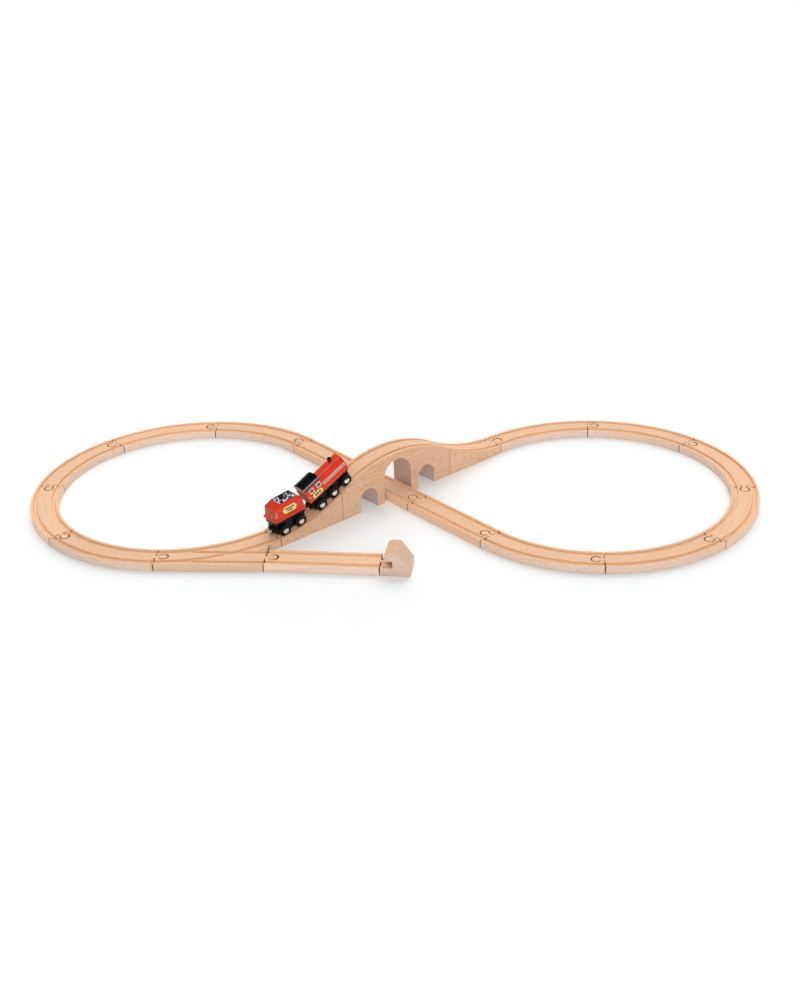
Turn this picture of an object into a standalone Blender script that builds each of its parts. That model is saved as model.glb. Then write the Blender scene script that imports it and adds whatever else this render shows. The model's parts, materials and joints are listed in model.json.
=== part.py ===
"""Wooden train set: a figure-eight of grooved beech track with a three-arch bridge, a switch,
a dead-end spur with a buffer stop, and a red engine with its tender standing on the ramp.

Metres, +Z up. The origin lies on the floor under the middle of the bridge, where the two
straight legs of the figure-eight cross at right angles. +X runs through the centres of both
loops, towards the loop on the bridge's far-ramp side.
"""

import math

import bmesh
import bpy
from mathutils import Matrix, Vector

INCH = 0.0254
MM = 0.001

# Track section and joints
TRACK_WIDTH = 40 * MM
TRACK_THICKNESS = 12 * MM
GROOVE_WIDTH = 6 * MM
GROOVE_DEPTH = 3 * MM
GROOVE_OFFSET = 13 * MM  # from the track's middle line to a groove's middle line
JOINT_GAP = 1 * MM  # between the end faces of two joined pieces
PEG_CENTRE = 11 * MM  # from the joint plane to the middle of the round head
PEG_RADIUS = 6 * MM
PEG_NECK = 3 * MM  # half the neck's width
SLOT_PLAY = 1.2 * MM  # room around a peg in its slot
HEAD_STEPS = 9

# Lengths of the pieces
CURVE_RADIUS = 8.5 * INCH
CURVE_ANGLE = math.radians(45)
CURVE_STEPS = 7
STRAIGHT = 6 * INCH
SHORT_STRAIGHT = 5 * INCH
SPUR_STRAIGHT = 6.25 * INCH
CROTCH_SLIT = (12 * MM, 3 * MM)  # length and width, where the switch's legs part
LEG_LENGTH = 2 * CURVE_RADIUS  # each leg that crosses the middle of the figure-eight
BRIDGE_LENGTH = 210 * MM
RAMP_LENGTH = (LEG_LENGTH - BRIDGE_LENGTH) / 2

# Bridge and ramps. A ramp's top is a hollow arc that leaves its foot at a small slope, the
# bridge's a crowned arc. Both stand at one height where they join.
RAMP_TOP = 43.5 * MM
FOOT_SLOPE = math.radians(4)
TOP_SLOPE = 2 * math.atan((RAMP_TOP - TRACK_THICKNESS) / RAMP_LENGTH) - FOOT_SLOPE
RAMP_RADIUS = RAMP_LENGTH / (math.sin(TOP_SLOPE) - math.sin(FOOT_SLOPE))
RAMP_CENTRE_BACK = RAMP_RADIUS * math.sin(FOOT_SLOPE)  # the arc's centre, behind the foot
RAMP_CENTRE_UP = TRACK_THICKNESS + RAMP_RADIUS * math.cos(FOOT_SLOPE)
DECK_SLOPE = math.radians(31.7)
DECK_RADIUS = BRIDGE_LENGTH / 2 / math.sin(DECK_SLOPE)
DECK_TOP = RAMP_TOP + BRIDGE_LENGTH / 2 * math.tan(DECK_SLOPE / 2)
DECK_STEPS = 16
RAMP_STEPS = 8
MAIN_ARCH_HALF = 26 * MM
MAIN_ARCH_SPRING = 37 * MM  # height where the arch's straight sides end
SIDE_ARCH_HALF = 16 * MM
SIDE_ARCH_SPRING = 18 * MM
SIDE_ARCH_PLACE = 56 * MM  # from the bridge's middle to the middle of a side arch
ARCH_STEPS = 10
RAMP_PEG_HEIGHT = 16 * MM  # the pegs under the ramps' top ends
FOOT_PEG_HEIGHT = 11.4 * MM  # the peg at the second ramp's foot

# Buffer stop, along the track from its joint
BUFFER_LENGTH = 41 * MM
BUFFER_NOSE = 7 * MM
BUFFER_NOTCH = 10.5 * MM
BUFFER_HEIGHT = 34 * MM
BUFFER_TOP_START = 13.5 * MM
BUFFER_TOP_END = 24.5 * MM
BUFFER_BACK_HEIGHT = 10 * MM

# The spur stands a little askew and drawn out, within its joints' play
SPUR_TURN = math.radians(-3)
BUFFER_TURN = math.radians(-1.5)
SPUR_PULL = 0.9 * MM

# Running gear. Heights in a vehicle are measured from the bottom of its wheels.
WHEEL_RADIUS = 9 * MM
WHEEL_WIDTH = 4.5 * MM
WHEEL_STEPS = 20
WHEEL_RIDE = 0.3 * MM  # gap left between a wheel and the groove's floor
BORE_PLAY = 0.4 * MM
AXLE_RADIUS = 1.5 * MM
AXLE_STEPS = 12
CAP_RADIUS = 4.75 * MM
CAP_HEIGHT = 2.1 * MM
CAP_START = 15.6 * MM  # from the vehicle's middle plane
CLEARANCE = 0.3 * MM  # between pieces that touch
KEEL_HALF_WIDTH = 9.8 * MM
KEEL_BOTTOM = 5 * MM
KEEL_INSET = 2.2 * MM  # from the body's end to the keel's
SOLE_BOTTOM = 19.3 * MM  # the sole plate over the wheels
SOLE_HALF_WIDTH = 11.6 * MM
MAGNET_RADIUS = 4.75 * MM
MAGNET_THICKNESS = 3.2 * MM
MAGNET_HEIGHT = 11.5 * MM
RIVET_RADIUS = 0.8 * MM
RIVET_HEAD = 2.2 * MM
RIVET_DEPTH = 3 * MM
STUB_HALF_WIDTH = 4 * MM
STUB_LENGTH = 2.4 * MM  # past the body's end

# Engine
ENGINE_AXLE_SPACING = 25.5 * MM
ENGINE_REAR = -38.5 * MM
ENGINE_FRONT = 38 * MM
ENGINE_SOLE_TOP = 21.5 * MM
ENGINE_REAR_AXLE = 78.6 * MM  # along the bridge leg, from the foot of the ramp
ENGINE_TILT = math.radians(1.5)  # the body lies this much flatter than its axles' line
BOILER_HALF_WIDTH = 12.4 * MM
BOILER_TOP = 45.8 * MM
BOILER_ROUND = 11.5 * MM
CAB_FRONT = -8.2 * MM
CAB_HALF_WIDTH = 12 * MM
ROOF_HALF_WIDTH = 12.3 * MM
ROOF_EDGE = 44.4 * MM
ROOF_RISE = 3.6 * MM
ROOF_THICKNESS = 2.4 * MM
ROOF_OVERHANG = 0.4 * MM
ROOF_STEPS = 8
CHIMNEY_PLACE = 24 * MM
CHIMNEY_RADIUS = 3.1 * MM
CHIMNEY_HEIGHT = 5 * MM
SPIGOT_RADIUS = 1.6 * MM
SPIGOT_DEPTH = 5 * MM

# Tender
TENDER_AXLE_HALF = 14 * MM
TENDER_REAR = -27.4 * MM
TENDER_FRONT = 25.4 * MM
TENDER_SOLE_TOP = 25.3 * MM
TENDER_REAR_AXLE = 12.5 * MM
TENDER_TILT = math.radians(3)
TENDER_SECTIONS = (  # height, rear, front, half width
    (25.6 * MM, TENDER_REAR, TENDER_FRONT, 15.4 * MM),
    (27.2 * MM, TENDER_REAR, TENDER_FRONT, 15.4 * MM),
    (30.8 * MM, -25 * MM, 24.6 * MM, 13.6 * MM),
    (43.6 * MM, -23.4 * MM, 23.6 * MM, 13.2 * MM),
    (49 * MM, -14 * MM, 18.8 * MM, 11 * MM),
)
COAL_REAR = -12.8 * MM
COAL_FRONT = 17.4 * MM
COAL_HALF_WIDTH = 9.8 * MM
COAL_THICKNESS = 2 * MM

BEECH = ("beech", (0.79, 0.56, 0.39), 0.5, 0.0)
RED_PAINT = ("red_paint", (0.62, 0.045, 0.02), 0.35, 0.0)
BLACK_PAINT = ("black_paint", (0.012, 0.012, 0.014), 0.35, 0.0)
BLACK_PLASTIC = ("black_plastic", (0.02, 0.02, 0.022), 0.45, 0.0)
COAL = ("coal", (0.03, 0.03, 0.035), 0.6, 0.0)
STEEL = ("steel", (0.75, 0.75, 0.76), 0.2, 1.0)


# Scene helpers


def clear_scene():
    for obj in list(bpy.data.objects):
        bpy.data.objects.remove(obj)


def make_collection(name):
    collection = bpy.data.collections.new(name)
    bpy.context.scene.collection.children.link(collection)
    return collection


def get_material(spec):
    name, colour, roughness, metallic = spec
    found = bpy.data.materials.get(name)
    if found:
        return found
    material = bpy.data.materials.new(name)
    material.use_nodes = True
    shader = material.node_tree.nodes["Principled BSDF"]
    shader.inputs["Base Color"].default_value = (*colour, 1)
    shader.inputs["Roughness"].default_value = roughness
    shader.inputs["Metallic"].default_value = metallic
    material.diffuse_color = (*colour, 1)
    return material


def place(name, mesh, spec, matrix=None, parent=None):
    """Adds a node with this mesh. The matrix is in its parent's frame."""
    if not mesh.materials:
        mesh.materials.append(get_material(spec))
    obj = bpy.data.objects.new(name, mesh)
    parts.objects.link(obj)
    obj.parent = parent
    obj.matrix_local = matrix or Matrix.Identity(4)
    return obj


def baked(obj):
    """The object's evaluated mesh, welded and facing out. The object itself is removed."""
    bpy.context.view_layer.update()
    graph = bpy.context.evaluated_depsgraph_get()
    mesh = bpy.data.meshes.new_from_object(obj.evaluated_get(graph))
    mesh.transform(obj.matrix_world)
    bm = bmesh.new()
    bm.from_mesh(mesh)
    bmesh.ops.remove_doubles(bm, verts=bm.verts, dist=0.002 * MM)
    bmesh.ops.recalc_face_normals(bm, faces=bm.faces)
    bm.to_mesh(mesh)
    bm.free()
    mesh.materials.clear()
    bpy.data.objects.remove(obj)
    return mesh


def outline_solid(points, low, high):
    """A closed solid from a flat outline in XY, reaching from height low to high."""
    curve = bpy.data.curves.new("outline", "CURVE")
    curve.dimensions = "2D"
    curve.fill_mode = "BOTH"
    curve.extrude = (high - low) / 2
    spline = curve.splines.new("POLY")
    spline.points.add(len(points) - 1)
    for target, (x, y) in zip(spline.points, points):
        target.co = (x, y, 0, 1)
    spline.use_cyclic_u = True
    obj = bpy.data.objects.new("outline", curve)
    obj.location.z = (low + high) / 2
    bpy.context.scene.collection.objects.link(obj)
    return baked(obj)


def side_solid(points, half_width, middle=0.0):
    """The same, from an outline in XZ, half_width to each side of y = middle."""
    mesh = outline_solid(points, -half_width, half_width)
    turn = Matrix.Rotation(math.radians(90), 4, "X")
    mesh.transform(Matrix.Translation((0, middle, 0)) @ turn)
    return mesh


def end_solid(points, low, high):
    """The same, from an outline in YZ, reaching from x = low to high."""
    mesh = outline_solid(points, low, high)
    mesh.transform(Matrix(((0, 0, 1, 0), (1, 0, 0, 0), (0, 1, 0, 0), (0, 0, 0, 1))))
    return mesh


def box(low, high):
    mesh = bpy.data.meshes.new("box")
    bm = bmesh.new()
    bmesh.ops.create_cube(bm, size=1)
    low, high = Vector(low), Vector(high)
    bmesh.ops.scale(bm, vec=high - low, verts=bm.verts)
    bmesh.ops.translate(bm, vec=(low + high) / 2, verts=bm.verts)
    bm.to_mesh(mesh)
    bm.free()
    return mesh


def turned(profile, steps, closed_ring=False):
    """A solid of revolution about Z from (radius, height) points, top to bottom."""
    mesh = bpy.data.meshes.new("profile")
    edges = [(i, i + 1) for i in range(len(profile) - 1)]
    if closed_ring:
        edges.append((len(profile) - 1, 0))
    mesh.from_pydata([(r, 0, z) for r, z in profile], edges, [])
    obj = bpy.data.objects.new("profile", mesh)
    bpy.context.scene.collection.objects.link(obj)
    screw = obj.modifiers.new("Screw", "SCREW")
    screw.axis = "Z"
    screw.angle = math.tau
    screw.steps = steps
    screw.render_steps = steps
    screw.use_merge_vertices = True
    screw.merge_threshold = 0.01 * MM
    return baked(obj)


def shaft(radius, low, high, axis="Z", at=(0, 0, 0)):
    """A round bar from low to high along an axis through the point at."""
    mesh = turned(((0, high), (radius, high), (radius, low), (0, low)), AXLE_STEPS)
    turns = {
        "X": Matrix.Rotation(math.radians(90), 4, "Y"),
        "Y": Matrix.Rotation(math.radians(-90), 4, "X"),
        "Z": Matrix.Identity(4),
    }
    mesh.transform(Matrix.Translation(at) @ turns[axis])
    return mesh


def combined(mesh, others, operation):
    """The mesh with each of the others cut from it or joined to it."""
    obj = bpy.data.objects.new("body", mesh)
    bpy.context.scene.collection.objects.link(obj)
    tools = []
    for other in others:
        tool = bpy.data.objects.new("tool", other)
        tool.display_type = "WIRE"
        tool.hide_render = True
        cutters.objects.link(tool)
        modifier = obj.modifiers.new("Boolean", "BOOLEAN")
        modifier.operation = operation
        modifier.solver = "EXACT"
        modifier.object = tool
        tools.append(tool)
    result = baked(obj)
    for tool in tools:
        bpy.data.objects.remove(tool)
    return result


def cut(mesh, *others):
    return combined(mesh, others, "DIFFERENCE")


def joined(mesh, *others):
    return combined(mesh, others, "UNION")


# Outlines


def arc(centre, radius, start, end, steps):
    """Points on an arc, both ends included. Angles in radians."""
    angles = [start + (end - start) * i / steps for i in range(steps + 1)]
    cx, cy = centre
    return [(cx + radius * math.cos(a), cy + radius * math.sin(a)) for a in angles]


def head_outline(radius, neck, start):
    """A round head on a neck that leaves x = start, running from -Y round to +Y."""
    meet = math.asin(neck / radius)
    head = arc((PEG_CENTRE, 0), radius, meet - math.pi, math.pi - meet, HEAD_STEPS)
    return [(start, -neck)] + head + [(start, neck)]


def peg_outline():
    """A peg beyond the joint plane at x = 0, starting on the end face before it."""
    return head_outline(PEG_RADIUS, PEG_NECK, -JOINT_GAP / 2)


def slot_outline():
    """A slot past the joint plane at x = 0, starting on the end face after it."""
    neck = PEG_NECK + SLOT_PLAY
    return head_outline(PEG_RADIUS + SLOT_PLAY, neck, JOINT_GAP / 2)


def moved(points, matrix):
    """Outline points carried by a matrix that turns about Z."""
    carried = [matrix @ Vector((x, y, 0)) for x, y in points]
    return [(p.x, p.y) for p in carried]


def heading_matrix(x, y, heading):
    return Matrix.Translation((x, y, 0)) @ Matrix.Rotation(heading, 4, "Z")


# A track piece's own frame: its slot end on the origin, its middle line leaving along +X,
# its underside on z = 0. A curve bends to the left.


def curve_point(angle, offset):
    """A point on the curved track, offset to the left of its middle line."""
    radius = CURVE_RADIUS - offset
    return radius * math.sin(angle), CURVE_RADIUS - radius * math.cos(angle)


def curve_line(offset, start, end):
    """Points along the curved track at one offset."""
    steps = range(CURVE_STEPS + 1)
    return [curve_point(start + (end - start) * i / CURVE_STEPS, offset) for i in steps]


def curve_end():
    x, y = curve_point(CURVE_ANGLE, 0)
    return heading_matrix(x, y, CURVE_ANGLE)


def both_grooves(strip):
    """Groove cutters in the upper and the lower face, from a function of two offsets."""
    tools = []
    for side in (-1, 1):
        inner = side * GROOVE_OFFSET - GROOVE_WIDTH / 2
        outline = strip(inner, inner + GROOVE_WIDTH)
        top = TRACK_THICKNESS
        tools.append(outline_solid(outline, top - GROOVE_DEPTH, top + GROOVE_DEPTH))
        tools.append(outline_solid(outline, -GROOVE_DEPTH, GROOVE_DEPTH))
    return tools


def curve_strip(inner, outer, start=-0.08, end=CURVE_ANGLE + 0.08):
    return curve_line(inner, start, end) + curve_line(outer, end, start)


def straight_strip(length):
    past = 5 * MM

    def strip(inner, outer):
        low, high = -past, length + past
        return [(low, inner), (high, inner), (high, outer), (low, outer)]

    return strip


def curve_track():
    trim = JOINT_GAP / 2 / CURVE_RADIUS
    half = TRACK_WIDTH / 2
    outline = curve_line(-half, trim, CURVE_ANGLE - trim)
    outline += moved(peg_outline(), curve_end())
    outline += curve_line(half, CURVE_ANGLE - trim, trim)
    outline += reversed(slot_outline())
    slab = outline_solid(outline, 0, TRACK_THICKNESS)
    return cut(slab, *both_grooves(curve_strip))


def straight_outline(length, peg=True):
    half = TRACK_WIDTH / 2
    low, high = JOINT_GAP / 2, length - JOINT_GAP / 2
    outline = [(low, -half), (high, -half)]
    outline += moved(peg_outline(), heading_matrix(length, 0, 0)) if peg else []
    outline += [(high, half), (low, half)]
    return outline + list(reversed(slot_outline()))


def straight_track(length):
    slab = outline_solid(straight_outline(length), 0, TRACK_THICKNESS)
    return cut(slab, *both_grooves(straight_strip(length)))


def switch_track():
    """A straight and a left-hand curve that share one slot end.

    The wood between the legs reaches to the straight's end, with a short slit beside it.
    """
    trim = JOINT_GAP / 2 / CURVE_RADIUS
    half = TRACK_WIDTH / 2
    end = STRAIGHT - JOINT_GAP / 2
    slit_length, slit_width = CROTCH_SLIT
    outline = [(JOINT_GAP / 2, -half), (end, -half)]
    outline += moved(peg_outline(), heading_matrix(STRAIGHT, 0, 0))
    outline += [(end, half), (end - slit_length, half)]
    outline += [(end - slit_length, half + slit_width / 3), (end, half + slit_width)]
    crotch = math.asin(end / (CURVE_RADIUS + half))
    outline += [curve_point(angle, -half) for angle in (crotch, CURVE_ANGLE - trim)]
    outline += moved(peg_outline(), curve_end())
    outline += curve_line(half, CURVE_ANGLE - trim, trim)
    outline += reversed(slot_outline())
    slab = outline_solid(outline, 0, TRACK_THICKNESS)
    slab = cut(slab, *both_grooves(curve_strip))
    return cut(slab, *both_grooves(straight_strip(STRAIGHT)))


def ramp_height(distance, drop=0.0):
    """Height of the ramp's top at a distance from its foot, less a drop square to it."""
    radius = RAMP_RADIUS + drop
    return RAMP_CENTRE_UP - math.sqrt(radius**2 - (distance + RAMP_CENTRE_BACK) ** 2)


def deck_height(distance, drop=0.0):
    """Height of the bridge's top at a distance from its middle."""
    radius = DECK_RADIUS - drop
    return DECK_TOP - DECK_RADIUS + math.sqrt(radius**2 - distance**2)


def spread(start, end, steps):
    return [start + (end - start) * i / steps for i in range(steps + 1)]


def surface_grooves(line, top):
    """Cutters that follow a line of (x, z) points and open upwards to a height."""
    outline = line + [(line[-1][0], top), (line[0][0], top)]
    places = (-GROOVE_OFFSET, GROOVE_OFFSET)
    return [side_solid(outline, GROOVE_WIDTH / 2, place) for place in places]


def ramp(peg, slot):
    """A ramp that climbs along +X from x = 0, with its peg joined on and its slot cut."""
    low, high = JOINT_GAP / 2, RAMP_LENGTH - JOINT_GAP / 2
    top = [(x, ramp_height(x)) for x in spread(low, high, RAMP_STEPS)]
    body = side_solid([(low, 0), (high, 0)] + top[::-1], TRACK_WIDTH / 2)
    past = 4 * MM
    stations = spread(-past, RAMP_LENGTH + past, RAMP_STEPS + 1)
    floor = [(x, ramp_height(x, GROOVE_DEPTH)) for x in stations]
    body = joined(body, peg)
    return cut(body, slot, *surface_grooves(floor, RAMP_TOP + 12 * MM))


def slot_cutter(height):
    """A slot that opens through the end face at x = 0 and through the underside."""
    outline = slot_outline()
    outline[0] = (-JOINT_GAP, outline[0][1])
    outline[-1] = (-JOINT_GAP, outline[-1][1])
    return outline_solid(outline, -2 * MM, height)


def peg_block(height):
    """A peg just off the floor, its neck run 2 mm back into the body it is joined to."""
    outline = peg_outline()
    back = -JOINT_GAP / 2 - 2 * MM
    outline[0] = (back, outline[0][1])
    outline[-1] = (back, outline[-1][1])
    return outline_solid(outline, CLEARANCE, height)


def end_placed(mesh, x, turned_round=False):
    turn = Matrix.Rotation(math.pi if turned_round else 0, 4, "Z")
    mesh.transform(Matrix.Translation((x, 0, 0)) @ turn)
    return mesh


def ramp_up():
    """Slot at the foot, peg at the top end."""
    peg = end_placed(peg_block(RAMP_PEG_HEIGHT), RAMP_LENGTH)
    return ramp(peg, slot_cutter(RAMP_TOP))


def ramp_down():
    """Slot at the top end, peg at the foot. Its own frame starts at its top end."""
    peg = end_placed(peg_block(FOOT_PEG_HEIGHT), 0, True)
    slot = end_placed(slot_cutter(RAMP_PEG_HEIGHT + SLOT_PLAY), RAMP_LENGTH, True)
    return end_placed(ramp(peg, slot), RAMP_LENGTH, True)


def arch_opening(place, half, spring):
    """Outline points of an arch from its right foot over to its left foot."""
    crown = arc((place, spring), half, 0, math.pi, ARCH_STEPS)
    return [(place + half, 0)] + crown + [(place - half, 0)]


def bridge_span():
    half = BRIDGE_LENGTH / 2
    edge = half - JOINT_GAP / 2
    stations = spread(-edge, edge, DECK_STEPS)
    outline = [(x, deck_height(x)) for x in stations] + [(edge, 0)]
    outline += arch_opening(SIDE_ARCH_PLACE, SIDE_ARCH_HALF, SIDE_ARCH_SPRING)
    outline += arch_opening(0, MAIN_ARCH_HALF, MAIN_ARCH_SPRING)
    outline += arch_opening(-SIDE_ARCH_PLACE, SIDE_ARCH_HALF, SIDE_ARCH_SPRING)
    outline += [(-edge, 0)]
    body = end_placed(side_solid(outline, TRACK_WIDTH / 2), half)
    body = joined(body, end_placed(peg_block(RAMP_PEG_HEIGHT), BRIDGE_LENGTH))
    past = 4 * MM
    stations = spread(-half - past, half + past, DECK_STEPS + 2)
    floor = [(half + x, deck_height(x, GROOVE_DEPTH)) for x in stations]
    slot = slot_cutter(RAMP_PEG_HEIGHT + SLOT_PLAY)
    return cut(body, slot, *surface_grooves(floor, DECK_TOP + 5 * MM))


def buffer_stop():
    """A short base with a sloped block whose nose hangs over a notch."""
    step = TRACK_THICKNESS
    nose_bottom = step + BUFFER_NOTCH
    outline = [
        (JOINT_GAP / 2, 0),
        (BUFFER_LENGTH, 0),
        (BUFFER_LENGTH, BUFFER_BACK_HEIGHT),
        (BUFFER_TOP_END, BUFFER_HEIGHT),
        (BUFFER_TOP_START, BUFFER_HEIGHT),
        (BUFFER_NOSE, BUFFER_HEIGHT - 3 * MM),
        (BUFFER_NOSE, nose_bottom),
        (BUFFER_NOSE + BUFFER_NOTCH, nose_bottom),
        (BUFFER_NOSE + BUFFER_NOTCH, step),
        (JOINT_GAP / 2, step),
    ]
    body = side_solid(outline, TRACK_WIDTH / 2)
    return cut(body, slot_cutter(step + SLOT_PLAY))


# The layout, walked piece by piece


def turn_over(matrix):
    """The same place for a piece lying on its other face, so that it bends right."""
    lift = Matrix.Translation((0, 0, TRACK_THICKNESS))
    return matrix @ lift @ Matrix.Rotation(math.pi, 4, "X")


def walk_straight(matrix, length):
    return matrix @ Matrix.Translation((length, 0, 0))


def walk_curve(matrix, bends_left):
    x, y = curve_point(CURVE_ANGLE, 0)
    side = 1 if bends_left else -1
    return matrix @ heading_matrix(x, side * y, side * CURVE_ANGLE)


def turned_in_joint(matrix, angle):
    """The next piece's place when it is turned about the peg that holds it."""
    pivot = Matrix.Translation((PEG_CENTRE, 0, 0))
    return matrix @ pivot @ Matrix.Rotation(angle, 4, "Z") @ pivot.inverted()


def build_track():
    """Lays every track piece in the order in which they join."""
    curve = curve_track()
    straight = straight_track(STRAIGHT)
    foot = -LEG_LENGTH / 2 * math.sqrt(0.5)
    here = heading_matrix(foot, foot, math.radians(45))

    place("ramp_up", ramp_up(), BEECH, here)
    here = walk_straight(here, RAMP_LENGTH)
    place("bridge_span", bridge_span(), BEECH, here)
    here = walk_straight(here, BRIDGE_LENGTH)
    place("ramp_down", ramp_down(), BEECH, here)
    here = walk_straight(here, RAMP_LENGTH)
    for number in range(1, 7):
        place(f"curve_right_{number}", curve, BEECH, turn_over(here))
        here = walk_curve(here, bends_left=False)
    place("straight_east", straight, BEECH, here)
    here = walk_straight(here, STRAIGHT)
    place("straight_under_bridge", straight, BEECH, here)
    here = walk_straight(here, STRAIGHT)
    place("straight_west", straight_track(SHORT_STRAIGHT), BEECH, here)
    here = walk_straight(here, SHORT_STRAIGHT)
    for number in range(1, 6):
        place(f"curve_left_{number}", curve, BEECH, here)
        here = walk_curve(here, bends_left=True)
    place("switch_track", switch_track(), BEECH, here)
    here = turned_in_joint(walk_straight(here, STRAIGHT + SPUR_PULL), SPUR_TURN)
    place("spur_straight", straight_track(SPUR_STRAIGHT), BEECH, here)
    here = turned_in_joint(walk_straight(here, SPUR_STRAIGHT + SPUR_PULL), BUFFER_TURN)
    place("buffer_stop", buffer_stop(), BEECH, here)


# Vehicles. A vehicle's own frame: +X forwards, +Y to its left, z = 0 at its wheels' bottoms.


def wheel_mesh():
    half = WHEEL_WIDTH / 2
    bore = AXLE_RADIUS + BORE_PLAY
    profile = ((bore, half), (WHEEL_RADIUS, half), (WHEEL_RADIUS, -half), (bore, -half))
    mesh = turned(profile, WHEEL_STEPS, closed_ring=True)
    mesh.transform(Matrix.Rotation(math.radians(90), 4, "X"))
    return mesh


def axle_mesh():
    """A pin with a domed cap on each end, along Y."""
    cap = [
        (CAP_RADIUS * math.sin(a), CAP_START + CAP_HEIGHT * math.cos(a))
        for a in spread(0, math.pi / 2, 3)
    ]
    half = cap + [(AXLE_RADIUS, CAP_START)]
    profile = half + [(r, -z) for r, z in reversed(half)]
    mesh = turned(profile, AXLE_STEPS)
    mesh.transform(Matrix.Rotation(math.radians(90), 4, "X"))
    return mesh


def add_wheelset(vehicle, end, at, wheel, axle, frame):
    """An axle with its two wheels, all with their origins on the axle's line."""
    middle = Matrix.Translation((at[0], 0, at[1]))
    pin = place(f"{vehicle}_axle_{end}", axle, STEEL, middle, frame)
    for side, y in (("left", GROOVE_OFFSET), ("right", -GROOVE_OFFSET)):
        name = f"{vehicle}_wheel_{end}_{side}"
        place(name, wheel, BLACK_PLASTIC, Matrix.Translation((0, y, 0)), pin)


def magnet_mesh():
    """A ring magnet along X, its rear face on x = 0."""
    bore = RIVET_RADIUS + BORE_PLAY
    top = MAGNET_THICKNESS
    profile = ((bore, top), (MAGNET_RADIUS, top), (MAGNET_RADIUS, 0), (bore, 0))
    mesh = turned(profile, AXLE_STEPS + 4, closed_ring=True)
    mesh.transform(Matrix.Rotation(math.radians(90), 4, "Y"))
    return mesh


def rivet_mesh():
    """The rivet that a magnet turns on, along X, with the magnet's rear face on x = 0."""
    seat = MAGNET_THICKNESS + CLEARANCE
    head = seat + 0.8 * MM
    profile = ((0, head), (RIVET_HEAD, seat + CLEARANCE), (RIVET_HEAD, seat))
    profile += ((RIVET_RADIUS, seat), (RIVET_RADIUS, -RIVET_DEPTH), (0, -RIVET_DEPTH))
    mesh = turned(profile, AXLE_STEPS)
    mesh.transform(Matrix.Rotation(math.radians(90), 4, "Y"))
    return mesh


def add_coupling(name, face, frame):
    """A magnet on its rivet, just off a stub's end face at x = face."""
    direction = 1 if face > 0 else -1
    turn = Matrix.Rotation(0 if face > 0 else math.pi, 4, "Z")
    at = Matrix.Translation((face + direction * CLEARANCE, 0, MAGNET_HEIGHT)) @ turn
    place(f"{name}_magnet", magnet_mesh(), STEEL, at, frame)
    place(f"{name}_rivet", rivet_mesh(), STEEL, at, frame)


def chassis_mesh(rear, front, sole_top, axle_places, stub_sides):
    """A keel between the wheels, a sole plate over them and a stub for each coupling."""
    low, high = rear + KEEL_INSET, front - KEEL_INSET
    keel = box(
        (low, -KEEL_HALF_WIDTH, KEEL_BOTTOM),
        (high, KEEL_HALF_WIDTH, sole_top - MM),
    )
    sole = box(
        (rear + MM, -SOLE_HALF_WIDTH, SOLE_BOTTOM),
        (front - MM, SOLE_HALF_WIDTH, sole_top),
    )
    pieces = [sole]
    bore = AXLE_RADIUS + BORE_PLAY
    holes = [shaft(bore, -20 * MM, 20 * MM, "Y", (x, 0, z)) for x, z in axle_places]
    bottom = MAGNET_HEIGHT - STUB_HALF_WIDTH
    top = MAGNET_HEIGHT + STUB_HALF_WIDTH
    for side in stub_sides:
        end = stub_end(rear, front, side)
        near, far = sorted((end - side * (STUB_LENGTH + 4 * MM), end))
        pieces.append(box((near, -STUB_HALF_WIDTH, bottom), (far, STUB_HALF_WIDTH, top)))
        near, far = sorted((end - side * (RIVET_DEPTH + MM), end + side * MM))
        rivet_room = RIVET_RADIUS + BORE_PLAY
        holes.append(shaft(rivet_room, near, far, "X", (0, 0, MAGNET_HEIGHT)))
    return cut(joined(keel, *pieces), *holes)


def stub_end(rear, front, side):
    return front + STUB_LENGTH if side > 0 else rear - STUB_LENGTH


def boiler_mesh():
    """A block with upright sides and a rounded top, with a hole for the chimney."""
    bottom = ENGINE_SOLE_TOP + CLEARANCE
    inner = BOILER_HALF_WIDTH - BOILER_ROUND
    shoulder = BOILER_TOP - BOILER_ROUND
    outline = [(-BOILER_HALF_WIDTH, bottom), (BOILER_HALF_WIDTH, bottom)]
    outline += arc((inner, shoulder), BOILER_ROUND, 0, math.pi / 2, 5)
    outline += arc((-inner, shoulder), BOILER_ROUND, math.pi / 2, math.pi, 5)
    body = end_solid(outline, CAB_FRONT + CLEARANCE, ENGINE_FRONT)
    depth = SPIGOT_DEPTH + CLEARANCE
    hole = shaft(SPIGOT_RADIUS + BORE_PLAY, -depth, MM, "Z", (CHIMNEY_PLACE, 0, BOILER_TOP))
    return cut(body, hole)


def roof_arc(drop):
    """The barrel roof's underside, or a line that far under it, from left to right."""
    radius = (ROOF_HALF_WIDTH**2 + ROOF_RISE**2) / (2 * ROOF_RISE)
    centre = (0, ROOF_EDGE + ROOF_RISE - radius)
    half = math.asin(ROOF_HALF_WIDTH / radius)
    top = math.pi / 2
    return arc(centre, radius - drop, top + half, top - half, ROOF_STEPS)


def roof_mesh():
    outline = roof_arc(-ROOF_THICKNESS) + roof_arc(0)[::-1]
    return end_solid(outline, ENGINE_REAR - ROOF_OVERHANG, CAB_FRONT)


def cab_mesh():
    bottom = ENGINE_SOLE_TOP + CLEARANCE
    top = [(y, z) for y, z in roof_arc(CLEARANCE) if abs(y) < CAB_HALF_WIDTH - MM]
    eaves = ROOF_EDGE - CLEARANCE
    outline = [(CAB_HALF_WIDTH, bottom), (CAB_HALF_WIDTH, eaves)]
    outline += top[::-1]
    outline += [(-CAB_HALF_WIDTH, eaves), (-CAB_HALF_WIDTH, bottom)]
    return end_solid(outline, ENGINE_REAR, CAB_FRONT)


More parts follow.
